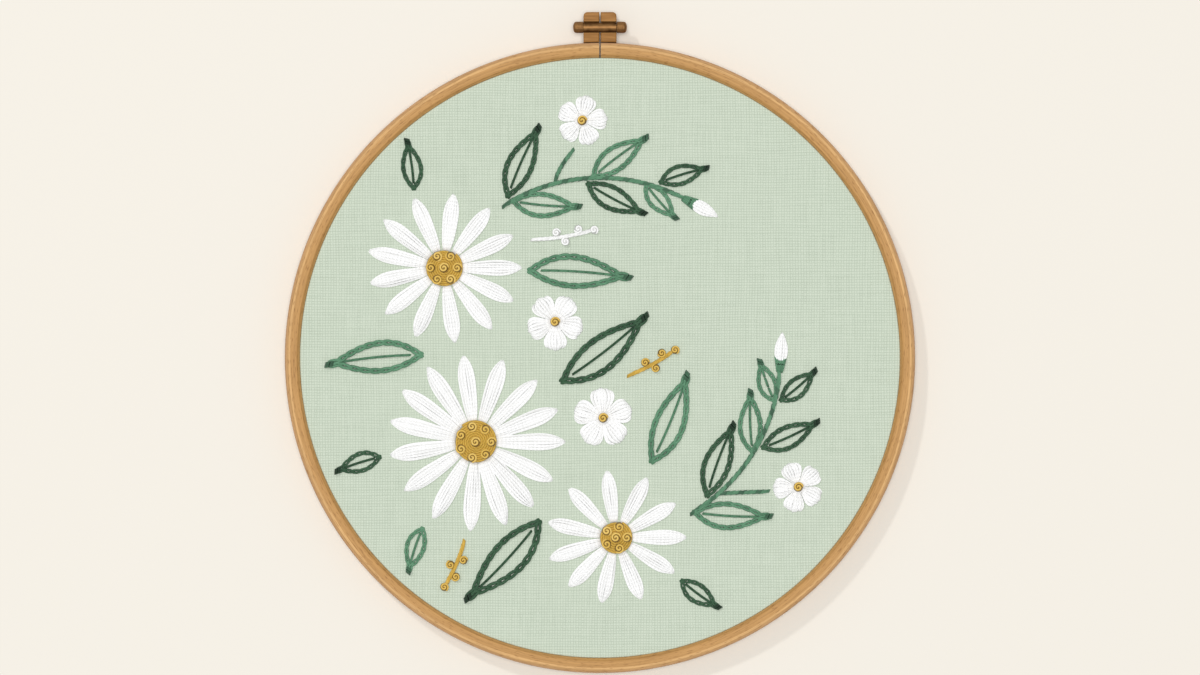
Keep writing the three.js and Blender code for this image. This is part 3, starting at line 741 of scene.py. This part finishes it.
def slotted_end():
    """The screw's domed end with the driver's slot. Its rows cross the disc from rim to rim, at
    the radius times the sine of the lathe's steps. The dome falls back by its crown times one less
    the root of one less the squared share of the radius. The rows in the slot lie no higher than
    its floor, and its walls lean a little."""
    step = 360 / LATHE_SIDES
    beside = np.arange(SLOT_HALF_TURN, 90 + step / 2, step)
    within = np.arange(-SLOT_HALF_TURN, SLOT_HALF_TURN + step / 2, step)
    rows = np.radians(np.concatenate([-beside[::-1], within, beside]))[:, None]
    in_slot = np.repeat([False, True, False], [len(beside), len(within), len(beside)])[:, None]
    # The columns lie closer together towards the rim.
    reach = 1.48
    columns = 25
    across = np.sin(reach * np.linspace(-1, 1, columns)) / np.sin(reach)
    y = SCREW_HEAD_RADIUS * np.cos(rows) * across
    lean = SLOT_LEAN * in_slot * np.sign(rows) * (1 - across ** 2)
    z = SCREW_HEAD_RADIUS * np.sin(rows) - lean
    share = np.cos(rows) ** 2 * across ** 2 + np.sin(rows) ** 2
    fall = SCREW_CROWN * (1 - np.sqrt(np.clip(1 - share, 0, 1)))
    fall = np.where(in_slot, np.maximum(fall, SLOT_DEPTH), fall)
    points = np.stack([fall - SCREW_END, y + SCREW_DISTANCE, z + SCREW_HEIGHT], axis=-1)
    return {
        "points": points.reshape(-1, 3),
        "quads": grid_faces(*fall.shape, False),
        "uv": grid_map(z[:, columns // 2], y[len(beside)]),
    }


def along_screw(radius, first, last, count):
    """A straight part of the screw's outline: one radius, at equal steps from first to last."""
    return np.stack([np.full(count, radius), np.linspace(first, last, count)], axis=-1)


def finish_turning(turned):
    """Joins the points that lie on each other, where the slotted end meets the turned part."""
    form = bmesh.new()
    form.from_mesh(turned.data)
    bmesh.ops.remove_doubles(form, verts=form.verts, dist=0.0001 * MM)
    form.to_mesh(turned.data)
    form.free()
    keep_edges_crisp(turned)


def make_clasp():
    """The lugs in their stain; the screw as a knurled head, a shank and a threaded end; the nut as
    a knurled barrel with a bore and a dome like the head's: radius times sine, crown times one
    less the cosine."""
    for name in ("clasp_lug_left", "clasp_lug_right"):
        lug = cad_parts[name]
        lug.data.materials.clear()
        lug.data.materials.append(dark_beech)
    head = SCREW_HEAD_RADIUS
    dome_starts = SCREW_END - SCREW_CROWN
    body = lathe_along_x(np.concatenate([
        along_screw(head, -dome_starts, -SCREW_SHOULDER - 0.15, 26),
        [[head - CHAMFER, -SCREW_SHOULDER]],
        along_screw(SCREW_SHANK_RADIUS, -SCREW_SHOULDER, SCREW_SHOULDER - 0.1, 12),
        [[SCREW_SHANK_RADIUS - 0.1, SCREW_SHOULDER]],
        along_screw(SCREW_THREAD_RADIUS, SCREW_SHOULDER, THREAD_ENDS - 0.1, 28),
        [[SCREW_THREAD_RADIUS - 0.2, THREAD_ENDS], [0.1, THREAD_ENDS]],
    ]), lambda along, turn: threaded(along, turn)
        + knurled(along, turn, -dome_starts + KNURL_MARGIN, -SCREW_SHOULDER - 0.1 - KNURL_MARGIN),
        open_start=True)
    screw = [slotted_end(), body]
    finish_turning(piece("shoulder_screw", screw, brass, ["clamp_screw"]))
    near = SCREW_SHOULDER + SEAT_GAP
    bore = SCREW_THREAD_RADIUS + BORE_GAP
    bore_ends = THREAD_ENDS + BORE_GAP
    turn = np.radians(np.arange(80, 5, -10))
    nut = lathe_along_x(np.concatenate([
        [[0.1, bore_ends], [bore, bore_ends]],
        along_screw(bore, bore_ends - 0.1, near + CHAMFER, 4),
        [[bore + CHAMFER, near], [head - CHAMFER, near]],
        along_screw(head, near + CHAMFER, dome_starts, 24),
        np.stack([head * np.sin(turn), SCREW_END - SCREW_CROWN * (1 - np.cos(turn))], axis=-1),
        [[0.1, SCREW_END]],
    ]), lambda along, turn: knurled(along, turn, near + 0.2, dome_starts - KNURL_MARGIN))
    finish_turning(piece("thumb_nut", [nut], brass, ["barrel_nut"]))


def gathered(radius, turn):
    """How far the turned edge stands up in its gathers, and by how much its raw edge wanders. The
    gathers go with half of one plus the cosine of eighteen turns, and grow from the inner hoop to
    the raw edge. Sharper puckers lie between them, deepest along the gathering thread: one less
    the root of the size of a cosine of fifty-two half turns."""
    share = np.clip((INNER_RING_INSIDE - radius) / (INNER_RING_INSIDE - TURNED_EDGE_RADIUS), 0, 1)
    fold = 0.5 + 0.5 * np.cos(GATHERS * turn)
    uneven = 0.75 + 0.25 * np.sin(11 * turn + 0.6)
    pucker = uneven * (1 - np.abs(np.cos(PUCKERS / 2 * turn + 0.5 * np.sin(5 * turn))) ** 0.5)
    strength = 1 - 0.3 * (1 - np.sin(5 * turn + 1))
    drawn_in = np.exp(-((radius - GATHERING_RADIUS) / GATHERING_BAND) ** 2)
    puckered = np.clip(3 * share, 0, 1) * drawn_in * pucker
    lift = GATHER_LIFT * share * fold * strength + PUCKER_LIFT * puckered
    wander = 1 + RAW_EDGE_WANDER * share * np.sin(7 * turn) / np.maximum(radius, 1)
    return lift, wander


def make_cloth():
    """The cloth: rows of points from the middle of the face out to the hoop, down between the
    rings and in again behind, each row a circle. Near the rim the face rises in faint ridges, the
    sum of four sines of the turn. Just past a daisy's tips it is pulled in folds: a bell curve of
    the distance times the cosine of the turn round the daisy times its petals. The turned edge is
    lifted as the gathers say."""
    steps = CLOTH_STEPS
    half = CLOTH_SHEET / 2
    pressed = CLOTH_PRESSED - half
    middle = CLOTH_FACE - half
    level = TURNED_EDGE_LEVEL
    face = np.linspace([0.15, middle], [pressed - 0.35, middle], 112)
    rim = rounded((pressed - RIM_ROUNDING, middle - RIM_ROUNDING), RIM_ROUNDING, 90, -90, 5)
    skirt = np.linspace([pressed, SKIRT_TOP], [pressed, SKIRT_FOOT], 7)
    heel = rounded((pressed - HEEL_RADIUS, level + HEEL_RADIUS), HEEL_RADIUS, 0, -90, 5)
    behind = np.linspace([pressed - 1.5, level], [TURNED_EDGE_RADIUS, level], 24)
    outline = np.concatenate([face, rim, skirt, heel, behind])
    turn = 2 * np.pi * np.arange(steps) / steps
    radius = np.repeat(outline[:, :1], steps, axis=1)
    z = np.repeat(outline[:, 1:], steps, axis=1)
    on_face = np.arange(len(outline))[:, None] < len(face)
    is_behind = np.arange(len(outline))[:, None] >= len(outline) - len(behind)
    growing = np.clip((radius - RIDGES_BEGIN) / (RIDGES_FULL - RIDGES_BEGIN), 0, 1)
    fading = np.clip((RIDGES_END - radius) / RIDGES_FADE_OVER, 0, 1)
    ridges = sum(np.sin(count * turn + shift) for count, shift in RIM_RIDGES)
    z += np.where(on_face, RIDGE_HEIGHT * (growing * fading) * ridges, 0)
    x = radius * np.cos(turn)
    y = radius * np.sin(turn)
    for flower in DAISIES:
        angle = math.radians(flower["angle"])
        dx = x - flower["distance"] * math.cos(angle)
        dy = y - flower["distance"] * math.sin(angle)
        past_tips = np.hypot(dx, dy) - flower["radius"] - PULL_BEYOND
        bell = np.exp(-(past_tips / PULL_WIDTH) ** 2)
        folds = bell * np.cos(flower["petals"] * np.arctan2(dy, dx))
        z += np.where(on_face, STITCH_PULL * folds, 0)
    lift, wander = gathered(radius, turn)
    z += np.where(is_behind, lift, 0)
    x = np.where(is_behind, x * wander, x)
    y = np.where(is_behind, y * wander, y)
    points = np.stack([x, y, z], axis=-1).reshape(-1, 3)
    rows = len(outline)
    rim_mm = 2 * np.pi * HOOP_RADIUS * np.arange(steps + 1) / steps
    batch = {
        "points": points,
        "quads": grid_faces(rows, steps, True),
        "uv": grid_map(distances(outline), rim_mm),
        "caps": np.arange(steps)[None],
    }
    made = piece("stretched_cloth", [batch], cloth, ["ground_cloth"])
    thickness = made.modifiers.new("sheet", "SOLIDIFY")
    thickness.thickness = CLOTH_SHEET * MM
    thickness.offset = 0.0
    gathering = make_gathering_thread()


def make_gathering_thread():
    """Running stitches through the turned edge: each lies along a circle for two thirds of its
    step, just under the gathered cloth, and dips into it at both ends."""
    t = np.linspace(0, 1, 9)
    starts = np.arange(GATHERING_STITCHES)[:, None]
    turn = 2 * np.pi * (starts + GATHERING_STITCH_SHARE * t[None]) / GATHERING_STITCHES
    radius = GATHERING_RADIUS + GATHERING_WANDER * np.sin(11 * turn)
    lift, wander = gathered(radius, turn)
    dip = GATHERING_DIP * np.sin(np.pi * t) ** 0.5
    z = TURNED_EDGE_LEVEL + lift - CLOTH_SHEET / 2 + GATHERING_HEIGHT - dip
    path = np.stack([radius * wander * np.cos(turn), radius * wander * np.sin(turn), z], axis=-1)
    tone = 0.7 + chance.uniform(-0.1, 0.1, GATHERING_STITCHES)
    batch = strands(path, GATHERING_THREAD, 5, tone)
    return piece("gathering_thread", [batch], WHITE)


# The stitching

def laid(flat, place):
    """Points of a motif turned by its direction in degrees and moved to its place on the face."""
    angle = math.radians(place.get("direction", 0))
    x = place["x"] + flat[..., 0] * math.cos(angle) - flat[..., 1] * math.sin(angle)
    y = place["y"] + flat[..., 0] * math.sin(angle) + flat[..., 1] * math.cos(angle)
    return np.stack([x, y, flat[..., 2] + CLOTH_FACE], axis=-1)


def petal_threads(root, tip, width, sections, pairs, place, round_end=0.0):
    """Threads laid lengthwise in pairs over a padded petal. Each thread keeps its share of the
    half width, from -1 to 1, moved a tenth of a gap towards its pair. Its height is the root of
    one less four fifths of its share squared, less the groove's depth, and both its ends dip into
    the cloth. Behind the cloth every third thread shows."""
    count = 2 * pairs
    number = np.arange(count)
    opens_pair = number % 2 == 0
    shares = (number + 0.5) / count * 2 - 1
    t = np.linspace(0, 1, PETAL_STEPS)
    along = t[None] * (1 - round_end * shares[:, None] ** 2)
    half = width / 2 * np.interp(along, *smooth_sections(sections))
    waves = chance.uniform(3, 9, (count, 1))
    wobble = 0.035 * np.sin(along * waves + chance.uniform(0, 6, (count, 1)))
    gap = width / count
    squeeze = np.where(opens_pair, 1, -1)[:, None] * 0.1 * gap
    offset = shares[:, None] * (half - gap * 0.5) + squeeze * half / (width / 2) + wobble
    crown = np.sqrt(1 - 0.8 * shares[:, None] ** 2) - PETAL_GROOVE
    rise = np.clip(np.sin(np.pi * np.clip(t * 3 + 0.18, 0, 0.5)), 0, 1)
    fall = np.sqrt(np.clip((1 - t) / 0.16, 0, 1))
    z = -PETAL_DIP + (crown + 0.02) * rise * fall
    uneven = chance.uniform(0.93, 1.07, (count, 1))
    size = np.maximum(half / count * 1.2, 0.15) * uneven
    x = root + (tip - root) * along + chance.uniform(-0.2, 0.2, (count, 1)) * t
    flat = np.stack([x, offset, np.broadcast_to(z, x.shape)], axis=-1)
    # Painted shade: the threads darken towards the petal's edges, and the first thread of every
    # pair after the first is darker still, for the grey line between pairs
    tone = 0.86 - 0.14 * np.abs(shares) ** 3 + chance.uniform(-0.1, 0.1, count)
    tone = tone - 0.34 * (opens_pair & (number > 0))
    behind = flat[1::3, ::3] * [1, 0.9, -0.5] - [0, 0, CLOTH_SHEET]
    return [strands(laid(flat, place), size, 6, tone), strands(laid(behind, place), 0.26, 5, 0.6)]


def smooth_sections(sections):
    """A table of widths filled in by the one polynomial that passes through all its points."""
    places, widths = sections
    curve = np.polyfit(places, widths, len(places) - 1)
    t = np.linspace(0, 1, 41)
    return t, np.clip(np.polyval(curve, t), 0.08, 1.05)


def bead(x, y, level, radius, height, tone):
    """A low dome: each ring of it at an angle from 0 to 80 degrees has the radius times the
    cosine, and the height times the sine, over its level."""
    rings = 6
    sides = 24
    rise = np.radians(np.linspace(0, 80, rings))[:, None]
    turn = -2 * np.pi * np.arange(sides) / sides
    ring = np.stack([
        x + radius * np.cos(rise) * np.cos(turn),
        y + radius * np.cos(rise) * np.sin(turn),
        np.broadcast_to(level + height * np.sin(rise), (rings, sides)),
    ], axis=-1)
    ends = np.arange(sides)
    return {
        "points": ring.reshape(-1, 3),
        "quads": grid_faces(rings, sides, True),
        "uv": grid_map(np.arange(rings), np.arange(sides + 1) / sides),
        "caps": np.stack([ends, (rings - 1) * sides + ends[::-1]]),
        "tone": tone,
    }


def coil_knot(x, y, level, radius=KNOT_RADIUS, start=0.0, tone=0.75):
    """A wound knot: one thread in a spiral that climbs to its middle over a bead of the darkest
    gold, which is painted shade showing between the turns. Its distance from the middle falls
    evenly over the turns, and its height rises with the root of one less that share squared.
    Behind the cloth it shows as one short stitch."""
    t = np.linspace(0, 1, 46)
    thread = 0.18 * radius
    away = (radius - thread) * (1 - 0.94 * t)
    angle = start + 2 * np.pi * KNOT_TURNS * t
    share = away / (radius - thread)
    z = level + 0.6 * thread + 0.7 * radius * np.sqrt(1 - (0.95 * share) ** 2)
    path = np.stack([x + away * np.cos(angle), y + away * np.sin(angle), z], axis=-1)
    size = thread * np.clip(np.minimum(t / 0.05 + 0.4, (1 - t) / 0.05 + 0.6), 0.4, 1)
    # The bead's tone of 0, the darkest gold, is painted shade between the spiral's turns
    shaded_core = bead(x, y, level, radius - thread, 0.86 * radius, 0.0)
    across = np.linspace(-1, 1, 6)[:, None] * [math.cos(start), math.sin(start)]
    dip = CLOTH_FACE - CLOTH_SHEET - 0.25 * np.sqrt(1 - np.linspace(-1, 1, 6) ** 2)
    behind = np.concatenate([np.array([x, y]) + across, dip[:, None]], axis=1)
    return [strands(path[None], size[None], 7, tone), shaded_core, strands(behind[None], 0.25, 5, tone)]


def coiled_pad(radius, level):
    """The flower's eye under its knots: a thread couched in a flat spiral from the middle to the
    edge, low at the edge: its level falls with the fourth power of the distance."""
    thread = PAD_THREAD
    turns = (radius - thread) / (1.75 * thread)
    t = np.sqrt(np.linspace(0.002, 1, int(turns * 26)))
    angle = 2 * np.pi * turns * t
    away = (radius - thread) * t
    z = level - 0.55 * (away / radius) ** 4 + 0.03 * np.sin(9 * angle)
    return np.stack([away * np.cos(angle), away * np.sin(angle), z], axis=-1)


def make_daisy(table):
    """Petals at equal turns, each moved by up to an eighth of the step between them and its tip
    drawn in by up to 1.2 mm, with sines of its number. The eye is a coiled pad with one knot on
    its middle and the others in a circle. Behind the cloth its threads go straight from rim to
    rim, and sag by the root of a sine."""
    angle = math.radians(table["angle"])
    centre = {"x": table["distance"] * math.cos(angle), "y": table["distance"] * math.sin(angle)}
    root = table["disc"] - EYE_OVERLAP
    white = []
    for i in range(table["petals"]):
        tip = table["radius"] - PETAL_SHORTENING * abs(math.sin(3.7 * i))
        turn = 360 * (i + PETAL_SWAY * math.sin(5.3 * i)) / table["petals"]
        place = {**centre, "direction": turn}
        white += petal_threads(root, tip, table["width"], LONG_PETAL, 6, place)
    piece(table["name"] + "_satin", white, WHITE, [table["name"] + "_petals"])
    path = coiled_pad(table["disc"], HUB_HEIGHT + CENTRE_CROWN - PAD_SUNK)
    gold = [strands(laid(path[None], centre), PAD_THREAD, 6, 0.45)]
    ends = chance.uniform(0, 2 * math.pi, (BACK_THREADS, 2))
    share = np.linspace(0, 1, 8)
    rims = 0.85 * table["disc"] * np.stack([np.cos(ends), np.sin(ends)], axis=-1)
    crossed = rims[:, :1] * (1 - share[:, None]) + rims[:, 1:] * share[:, None]
    sag = 0.25 + 0.03 * np.arange(BACK_THREADS)[:, None]
    under = -CLOTH_SHEET - sag * np.sin(np.pi * share) ** 0.5
    gold.append(strands(laid(raised(crossed, under), centre), 0.27, 5, 0.5))
    base = CLOTH_FACE + HUB_HEIGHT
    level = base + CENTRE_CROWN - MIDDLE_KNOT_SUNK
    gold += coil_knot(centre["x"], centre["y"], level, DAISY_KNOT, tone=0.85)
    level = base + KNOT_LIFT - OUTER_KNOT_SUNK
    away = table["disc"] - KNOT_RADIUS - KNOT_MARGIN
    for i in range(table["knots"]):
        turn = 2 * math.pi * i / table["knots"]
        x = centre["x"] + away * math.cos(turn)
        y = centre["y"] + away * math.sin(turn)
        shade = 0.78 + 0.1 * math.sin(4 * i)
        gold += coil_knot(x, y, level, DAISY_KNOT, start=turn + 1.3 * i, tone=shade)
    piece(table["name"] + "_eye", gold, GOLD, [table["name"] + "_centre"])


def make_small_flower(table):
    """Five wide petals, one to every 72 degrees, and a knot on their middle."""
    tip = table["radius"]
    width = ROUND_PETAL_WIDTH * tip
    white = []
    for i in range(5):
        place = {"x": table["x"], "y": table["y"], "direction": table["turn"] + 72 * i}
        white += petal_threads(
            ROUND_PETAL_ROOT, tip, width, ROUND_PETAL, 7, place, ROUND_PETAL_END)
    piece(table["name"] + "_satin", white, WHITE, [table["name"] + "_petals"])
    level = CLOTH_FACE + HUB_HEIGHT + SMALL_FLOWER_KNOT_RISE
    eye = coil_knot(table["x"], table["y"], level, SMALL_FLOWER_KNOT)
    piece(table["name"] + "_eye", eye, GOLD, [table["name"] + "_knot"])


def follow(line, away, offset):
    """Points at distances along a line of points and off to its left."""
    gone = distances(line)
    way = unit(np.gradient(line, axis=0))
    x = np.interp(away, gone, line[:, 0])
    y = np.interp(away, gone, line[:, 1])
    dx = np.interp(away, gone, way[:, 0])
    dy = np.interp(away, gone, way[:, 1])
    beyond = np.maximum(away - gone[-1], 0) + np.minimum(away, 0)
    return np.stack([x + dx * beyond - dy * offset, y + dy * beyond + dx * offset], axis=-1)


def raised(flat, height):
    """Points [x, y] with a height each."""
    heights = np.broadcast_to(height[..., None], (*flat.shape[:-1], 1))
    return np.concatenate([flat, heights], axis=-1)


def chain(line, width, place, tone):
    """Chain stitch along a line: loops, each from the last one's inside. Round a loop, with a turn
    from 0 to 360 degrees, the distance along is half the loop's length times one less the cosine,
    and the distance aside goes with the sine times the sine of half the turn. A loop starts in the
    cloth, climbs over the last loop's end, and lies down to its own."""
    thread = 0.225 * width
    length = distances(line)[-1]
    count = max(3, round(length / (1.25 * width + 0.6)))
    pitch = length / count
    lap = 2.6 * thread
    turn = np.linspace(0.12, 2 * np.pi - 0.12, 20)
    loop = (pitch + lap) * (1 - np.cos(turn)) / 2
    aside = (width / 2 - thread) / 0.77 * np.sin(turn) * np.sin(turn / 2)
    over = np.exp(-((loop - lap) / (1.7 * thread)) ** 2)
    dive = np.exp(-(loop / (0.8 * thread)) ** 2)
    z = thread * (0.8 + 0.75 * over) - dive * 1.5 * thread
    starts = np.arange(count)[:, None] * pitch - 0.4 * lap
    away = starts + loop
    flat = follow(line, away.ravel(), np.tile(aside, count) * chance.uniform(0.9, 1.1))
    path = raised(flat.reshape(count, -1, 2), z)
    t = np.linspace(0, 1, 6)
    behind = (np.arange(count)[:, None] + 1.1 * t) * pitch
    back = follow(line, behind.ravel(), np.zeros(behind.size))
    sunk = -CLOTH_SHEET - thread * (np.sin(np.pi * t) ** 0.5 - 0.2)
    back = raised(back.reshape(count, -1, 2), sunk)
    shade = tone + chance.uniform(-0.12, 0.12, count)
    loops = strands(laid(path, place), thread, 6, shade)
    return [loops, strands(laid(back, place), thread, 5, shade)]


def straight_rows(line, stitch, place, tone, dark_every=0, over=0.0):
    """Stitches of one kind laid one after another along a line, as in stem stitch: each is some
    threads side by side, slants from one side of the line to the other, and stands up between its
    two holes by the sine of its share of the way."""
    room = distances(line)[-1] - stitch["length"]
    number = max(2, round(room / stitch["step"]) + 1)
    starts = np.linspace(0, max(room, 0.1), number)
    thread = stitch["radius"]
    t = np.linspace(0, 1, 10)
    batches = []
    for k in range(stitch["threads"]):
        aside = (k - (stitch["threads"] - 1) / 2) * stitch["spacing"]
        away = starts[:, None] + stitch["length"] * t[None] + aside * 0.5
        offset = aside + stitch["slant"] * (t[None] - 0.5) * np.ones_like(starts)[:, None]
        flat = follow(line, away.ravel(), offset.ravel()).reshape(number, len(t), 2)
        lift = -0.15 + (0.55 + over + thread * 1.2) * np.sin(np.pi * t) ** 0.6
        shade = tone + chance.uniform(-0.12, 0.12, number)
        if dark_every:
            shade = shade - 0.42 * (np.arange(number) % dark_every == 0)
        batches.append(strands(laid(raised(flat, lift), place), thread, 6, shade))
    behind = starts[:, None] + 0.7 * stitch["step"] * t[None, ::2]
    back = follow(line, behind.ravel(), np.zeros(behind.size))
    sunk = -CLOTH_SHEET - 0.9 * thread * np.sin(np.pi * t[::2]) ** 0.5
    back = raised(back.reshape(number, -1, 2), sunk)
    return batches + [strands(laid(back, place), 1.3 * thread, 5, tone)]


def bent_line(share, length, bend):
    """Points along +X at shares of a length, which bend aside with the square of the share."""
    return np.stack([share * length, bend * length * share ** 2], axis=-1)


def leaf_stitches(length, bend, place):
    """An outlined leaf along +X: two rows of chain stitch from base to tip along its edges, a row
    of back stitches down its middle, and a short darker stitch over its tip. At a share t of the
    length, the half width is half the greatest width times the sine of pi times t to the power
    0.85, with the sine to the power 0.9."""
    width = LEAF_WIDTH + LEAF_WIDENING * length
    ribbon = RIBBON_WIDTH + RIBBON_WIDENING * length
    t = np.linspace(0.012, 0.988, 60)
    half = width / 2 * np.sin(np.pi * t ** 0.85) ** 0.9
    middle = bend * LEAF_BEND * length * t ** 2
    batches = []
    for side in (1, -1):
        inset = np.maximum(half - ribbon / 2, 0.2 * ribbon)
        line = np.stack([t * length, middle + side * inset], axis=-1)
        batches += chain(line, ribbon, place, 0.55)
    t = np.linspace(0.13, 0.86, 30)
    line = bent_line(t, length, bend * LEAF_BEND)
    batches += straight_rows(line, VEIN_STITCH, place, 0.45)
    tip = {
        **TIP_COVER,
        "length": TIP_COVER["length"] + TIP_STITCH_GROWTH * length,
        "radius": TIP_COVER["radius"] + TIP_THREAD_GROWTH * length,
    }
    ends = np.array([1 - 0.5 * tip["length"] / length, 1 + 0.5 * tip["length"] / length])
    line = bent_line(ends, length, bend * LEAF_BEND)
    return batches + straight_rows(line, tip, place, 0.1, over=TIP_RISE)


def on_spray(table, share):
    """Where a spray's stem is at a share of its length, and the way that it grows there."""
    angle = table["from"] + (table["to"] - table["from"]) * share
    x = SPRAY_CIRCLE * math.cos(math.radians(angle))
    y = SPRAY_CIRCLE * math.sin(math.radians(angle))
    return {"x": x, "y": y, "direction": angle + math.copysign(90, table["to"] - table["from"])}


# The place of a line that is drawn about the hoop's centre
AT_CENTRE = {"x": 0.0, "y": 0.0, "direction": 0.0}


def make_spray(table):
    """The stem is an arc about the hoop's centre. The branch is the parabola through the fork, a
    point just left of its middle, and the small flower. The leaves stand off the stem by one
    angle. The bud is satin stitch, in a cup of four long stitches that spread evenly."""
    share = np.linspace(0, 1, 60)
    angle = np.radians(table["from"] + (table["to"] - table["from"]) * share)
    stem = SPRAY_CIRCLE * np.stack([np.cos(angle), np.sin(angle)], axis=-1)
    green = straight_rows(stem, STEM_STITCH, AT_CENTRE, 0.55, dark_every=3)
    fork = on_spray(table, table["branch"]["at"])
    branch = table["branch"]
    knots = np.array([
        [fork["x"], fork["y"]],
        [(fork["x"] + branch["x"]) / 2 - 1, (fork["y"] + branch["y"]) / 2],
        [branch["x"], branch["y"]],
    ])
    t = np.linspace(0, 1, 30)[:, None]
    curve = knots[0] * (1 - t) * (1 - 2 * t) + knots[1] * 4 * t * (1 - t)
    curve = curve + knots[2] * t * (2 * t - 1)
    green += straight_rows(curve, BRANCH_STITCH, AT_CENTRE, 0.5, dark_every=3)
    for number, leaf in enumerate(table["leaves"], 1):
        base = on_spray(table, leaf["at"])
        direction = base["direction"] + leaf["side"] * LEAF_SPREAD
        start = DARK_LEAF_GAP if leaf["tone"] == "dark" else 0.0
        place = {
            "x": base["x"] + start * math.cos(math.radians(direction)),
            "y": base["y"] + start * math.sin(math.radians(direction)),
            "direction": direction,
        }
        stitches = leaf_stitches(leaf["length"], -leaf["side"], place)
        if leaf["tone"] == "dark":
            name = "%s_leaf_%d" % (table["name"], number)
            piece(name + "_chain", stitches, DARK, [name])
        else:
            green += stitches
    tip = on_spray(table, 1)
    cup = np.stack([np.linspace(CUP_START, CUP_END, 20), np.zeros(20)], axis=-1)
    for side in CUP_SIDES:
        line = cup + np.stack([np.zeros(20), side * np.linspace(0.4, 1.15, 20)], axis=-1)
        green += straight_rows(line, CUP_STITCH, tip, 0.5)
    piece(table["name"] + "_stitches", green, MID, [table["name"] + "_green"])
    bud = petal_threads(BUD_ROOT, BUD_TIP, BUD_WIDTH, BUD, 5, tip)
    piece(table["name"] + "_bud_satin", bud, WHITE, [table["name"] + "_bud"])


def make_leaf(table):
    """A leaf on its own, in the thread of its tone."""
    material, slot = TONES[table["tone"]]
    stitches = leaf_stitches(table["length"], table["side"], table)
    piece(table["name"] + "_chain", stitches, material, [table["name"]])


def make_sprig(table):
    """A stem that bends aside with the square of the distance, and small knots along it."""
    material, slot = TONES[table["tone"]]
    t = np.linspace(0, 1, 40)
    bend = table["side"] * SPRIG_BEND
    line = bent_line(t, table["length"], bend)
    stitches = straight_rows(line, SPRIG_STITCH, table, 0.5)
    for i, (along, offset) in enumerate(SPRIG_KNOTS):
        spot = bent_line(along, table["length"], bend) + [0, offset * KNOT_RADIUS]
        x, y, z = laid(np.append(spot, 0.0), table)
        stitches += coil_knot(x, y, z + SPRIG_KNOT_RISE, start=1.7 * i, tone=0.7)
    piece(table["name"] + "_stitches", stitches, material, [table["name"]])


def hang_lamp(name, towards, size, energy):
    """A round soft lamp at the lamps' distance, shining at the hoop."""
    lamp = bpy.data.lights.new(name, "AREA")
    lamp.shape = "DISK"
    lamp.size = size
    lamp.energy = energy
    hung = bpy.data.objects.new(name, lamp)
    aim = Vector(towards).normalized()
    hung.location = aim * LAMP_DISTANCE
    hung.rotation_euler = aim.to_track_quat("Z", "Y").to_euler()
    bpy.context.collection.objects.link(hung)


def camera_and_light():
    """The camera looks straight down, and its frame is as wide at the hoop's front as the photo is
    at its scale. The window throws the hoop's pale shadow down and to the right, as long as the
    drawn one. The softbox above lights the flat colours evenly."""
    camera = bpy.data.cameras.new("camera")
    camera.sensor_width = CAMERA_FILM_MM
    camera.lens = CAMERA_FILM_MM * CAMERA_DISTANCE / (PHOTO_WIDTH_PX * MM_PER_PX * MM)
    camera.clip_start = 0.01
    camera.clip_end = 20.0
    holder = bpy.data.objects.new("camera", camera)
    camera_y = HOOP_CENTRE[1] + HOOP_CENTRE_BELOW_MIDDLE_PX * MM_PER_PX
    holder.location = (0.0, camera_y * MM, CAMERA_DISTANCE + HOOP_DEPTH * MM)
    bpy.context.collection.objects.link(holder)
    bpy.context.scene.camera = holder
    hang_lamp("window_light", (-5.1, 6.5, 10.0), 0.35, 41.0)
    hang_lamp("overhead_softbox", (0.0, 0.0, 1.0), 1.6, 143.0)
    world = bpy.data.worlds.new("soft_room")
    world.use_nodes = True
    sky = world.node_tree.nodes["Background"]
    sky.inputs["Color"].default_value = (1, 1, 1, 1)
    sky.inputs["Strength"].default_value = ROOM_LIGHT
    bpy.context.scene.world = world
    bpy.context.scene.view_settings.view_transform = "Standard"


def paper_ground():
    """The plain floor: one large flat card under the hoop."""
    points = np.array([[-1, -1, 0], [1, -1, 0], [1, 1, 0], [-1, 1, 0]]) * PAPER_HALF * MM
    mesh = bpy.data.meshes.new("paper_ground")
    mesh.from_pydata(points.tolist(), [], [[0, 1, 2, 3]])
    mesh.materials.append(cream_paper())
    ground = bpy.data.objects.new("paper_ground", mesh)
    bpy.context.collection.objects.link(ground)


camera_and_light()
paper_ground()
make_rings()
make_clasp()
make_cloth()
for daisy_table in DAISIES:
    make_daisy(daisy_table)
for flower_table in SMALL_FLOWERS:
    make_small_flower(flower_table)
for spray_table in SPRAYS:
    make_spray(spray_table)
for leaf_table in SINGLE_LEAVES:
    make_leaf(leaf_table)
for sprig_table in SPRIGS:
    make_sprig(sprig_table)
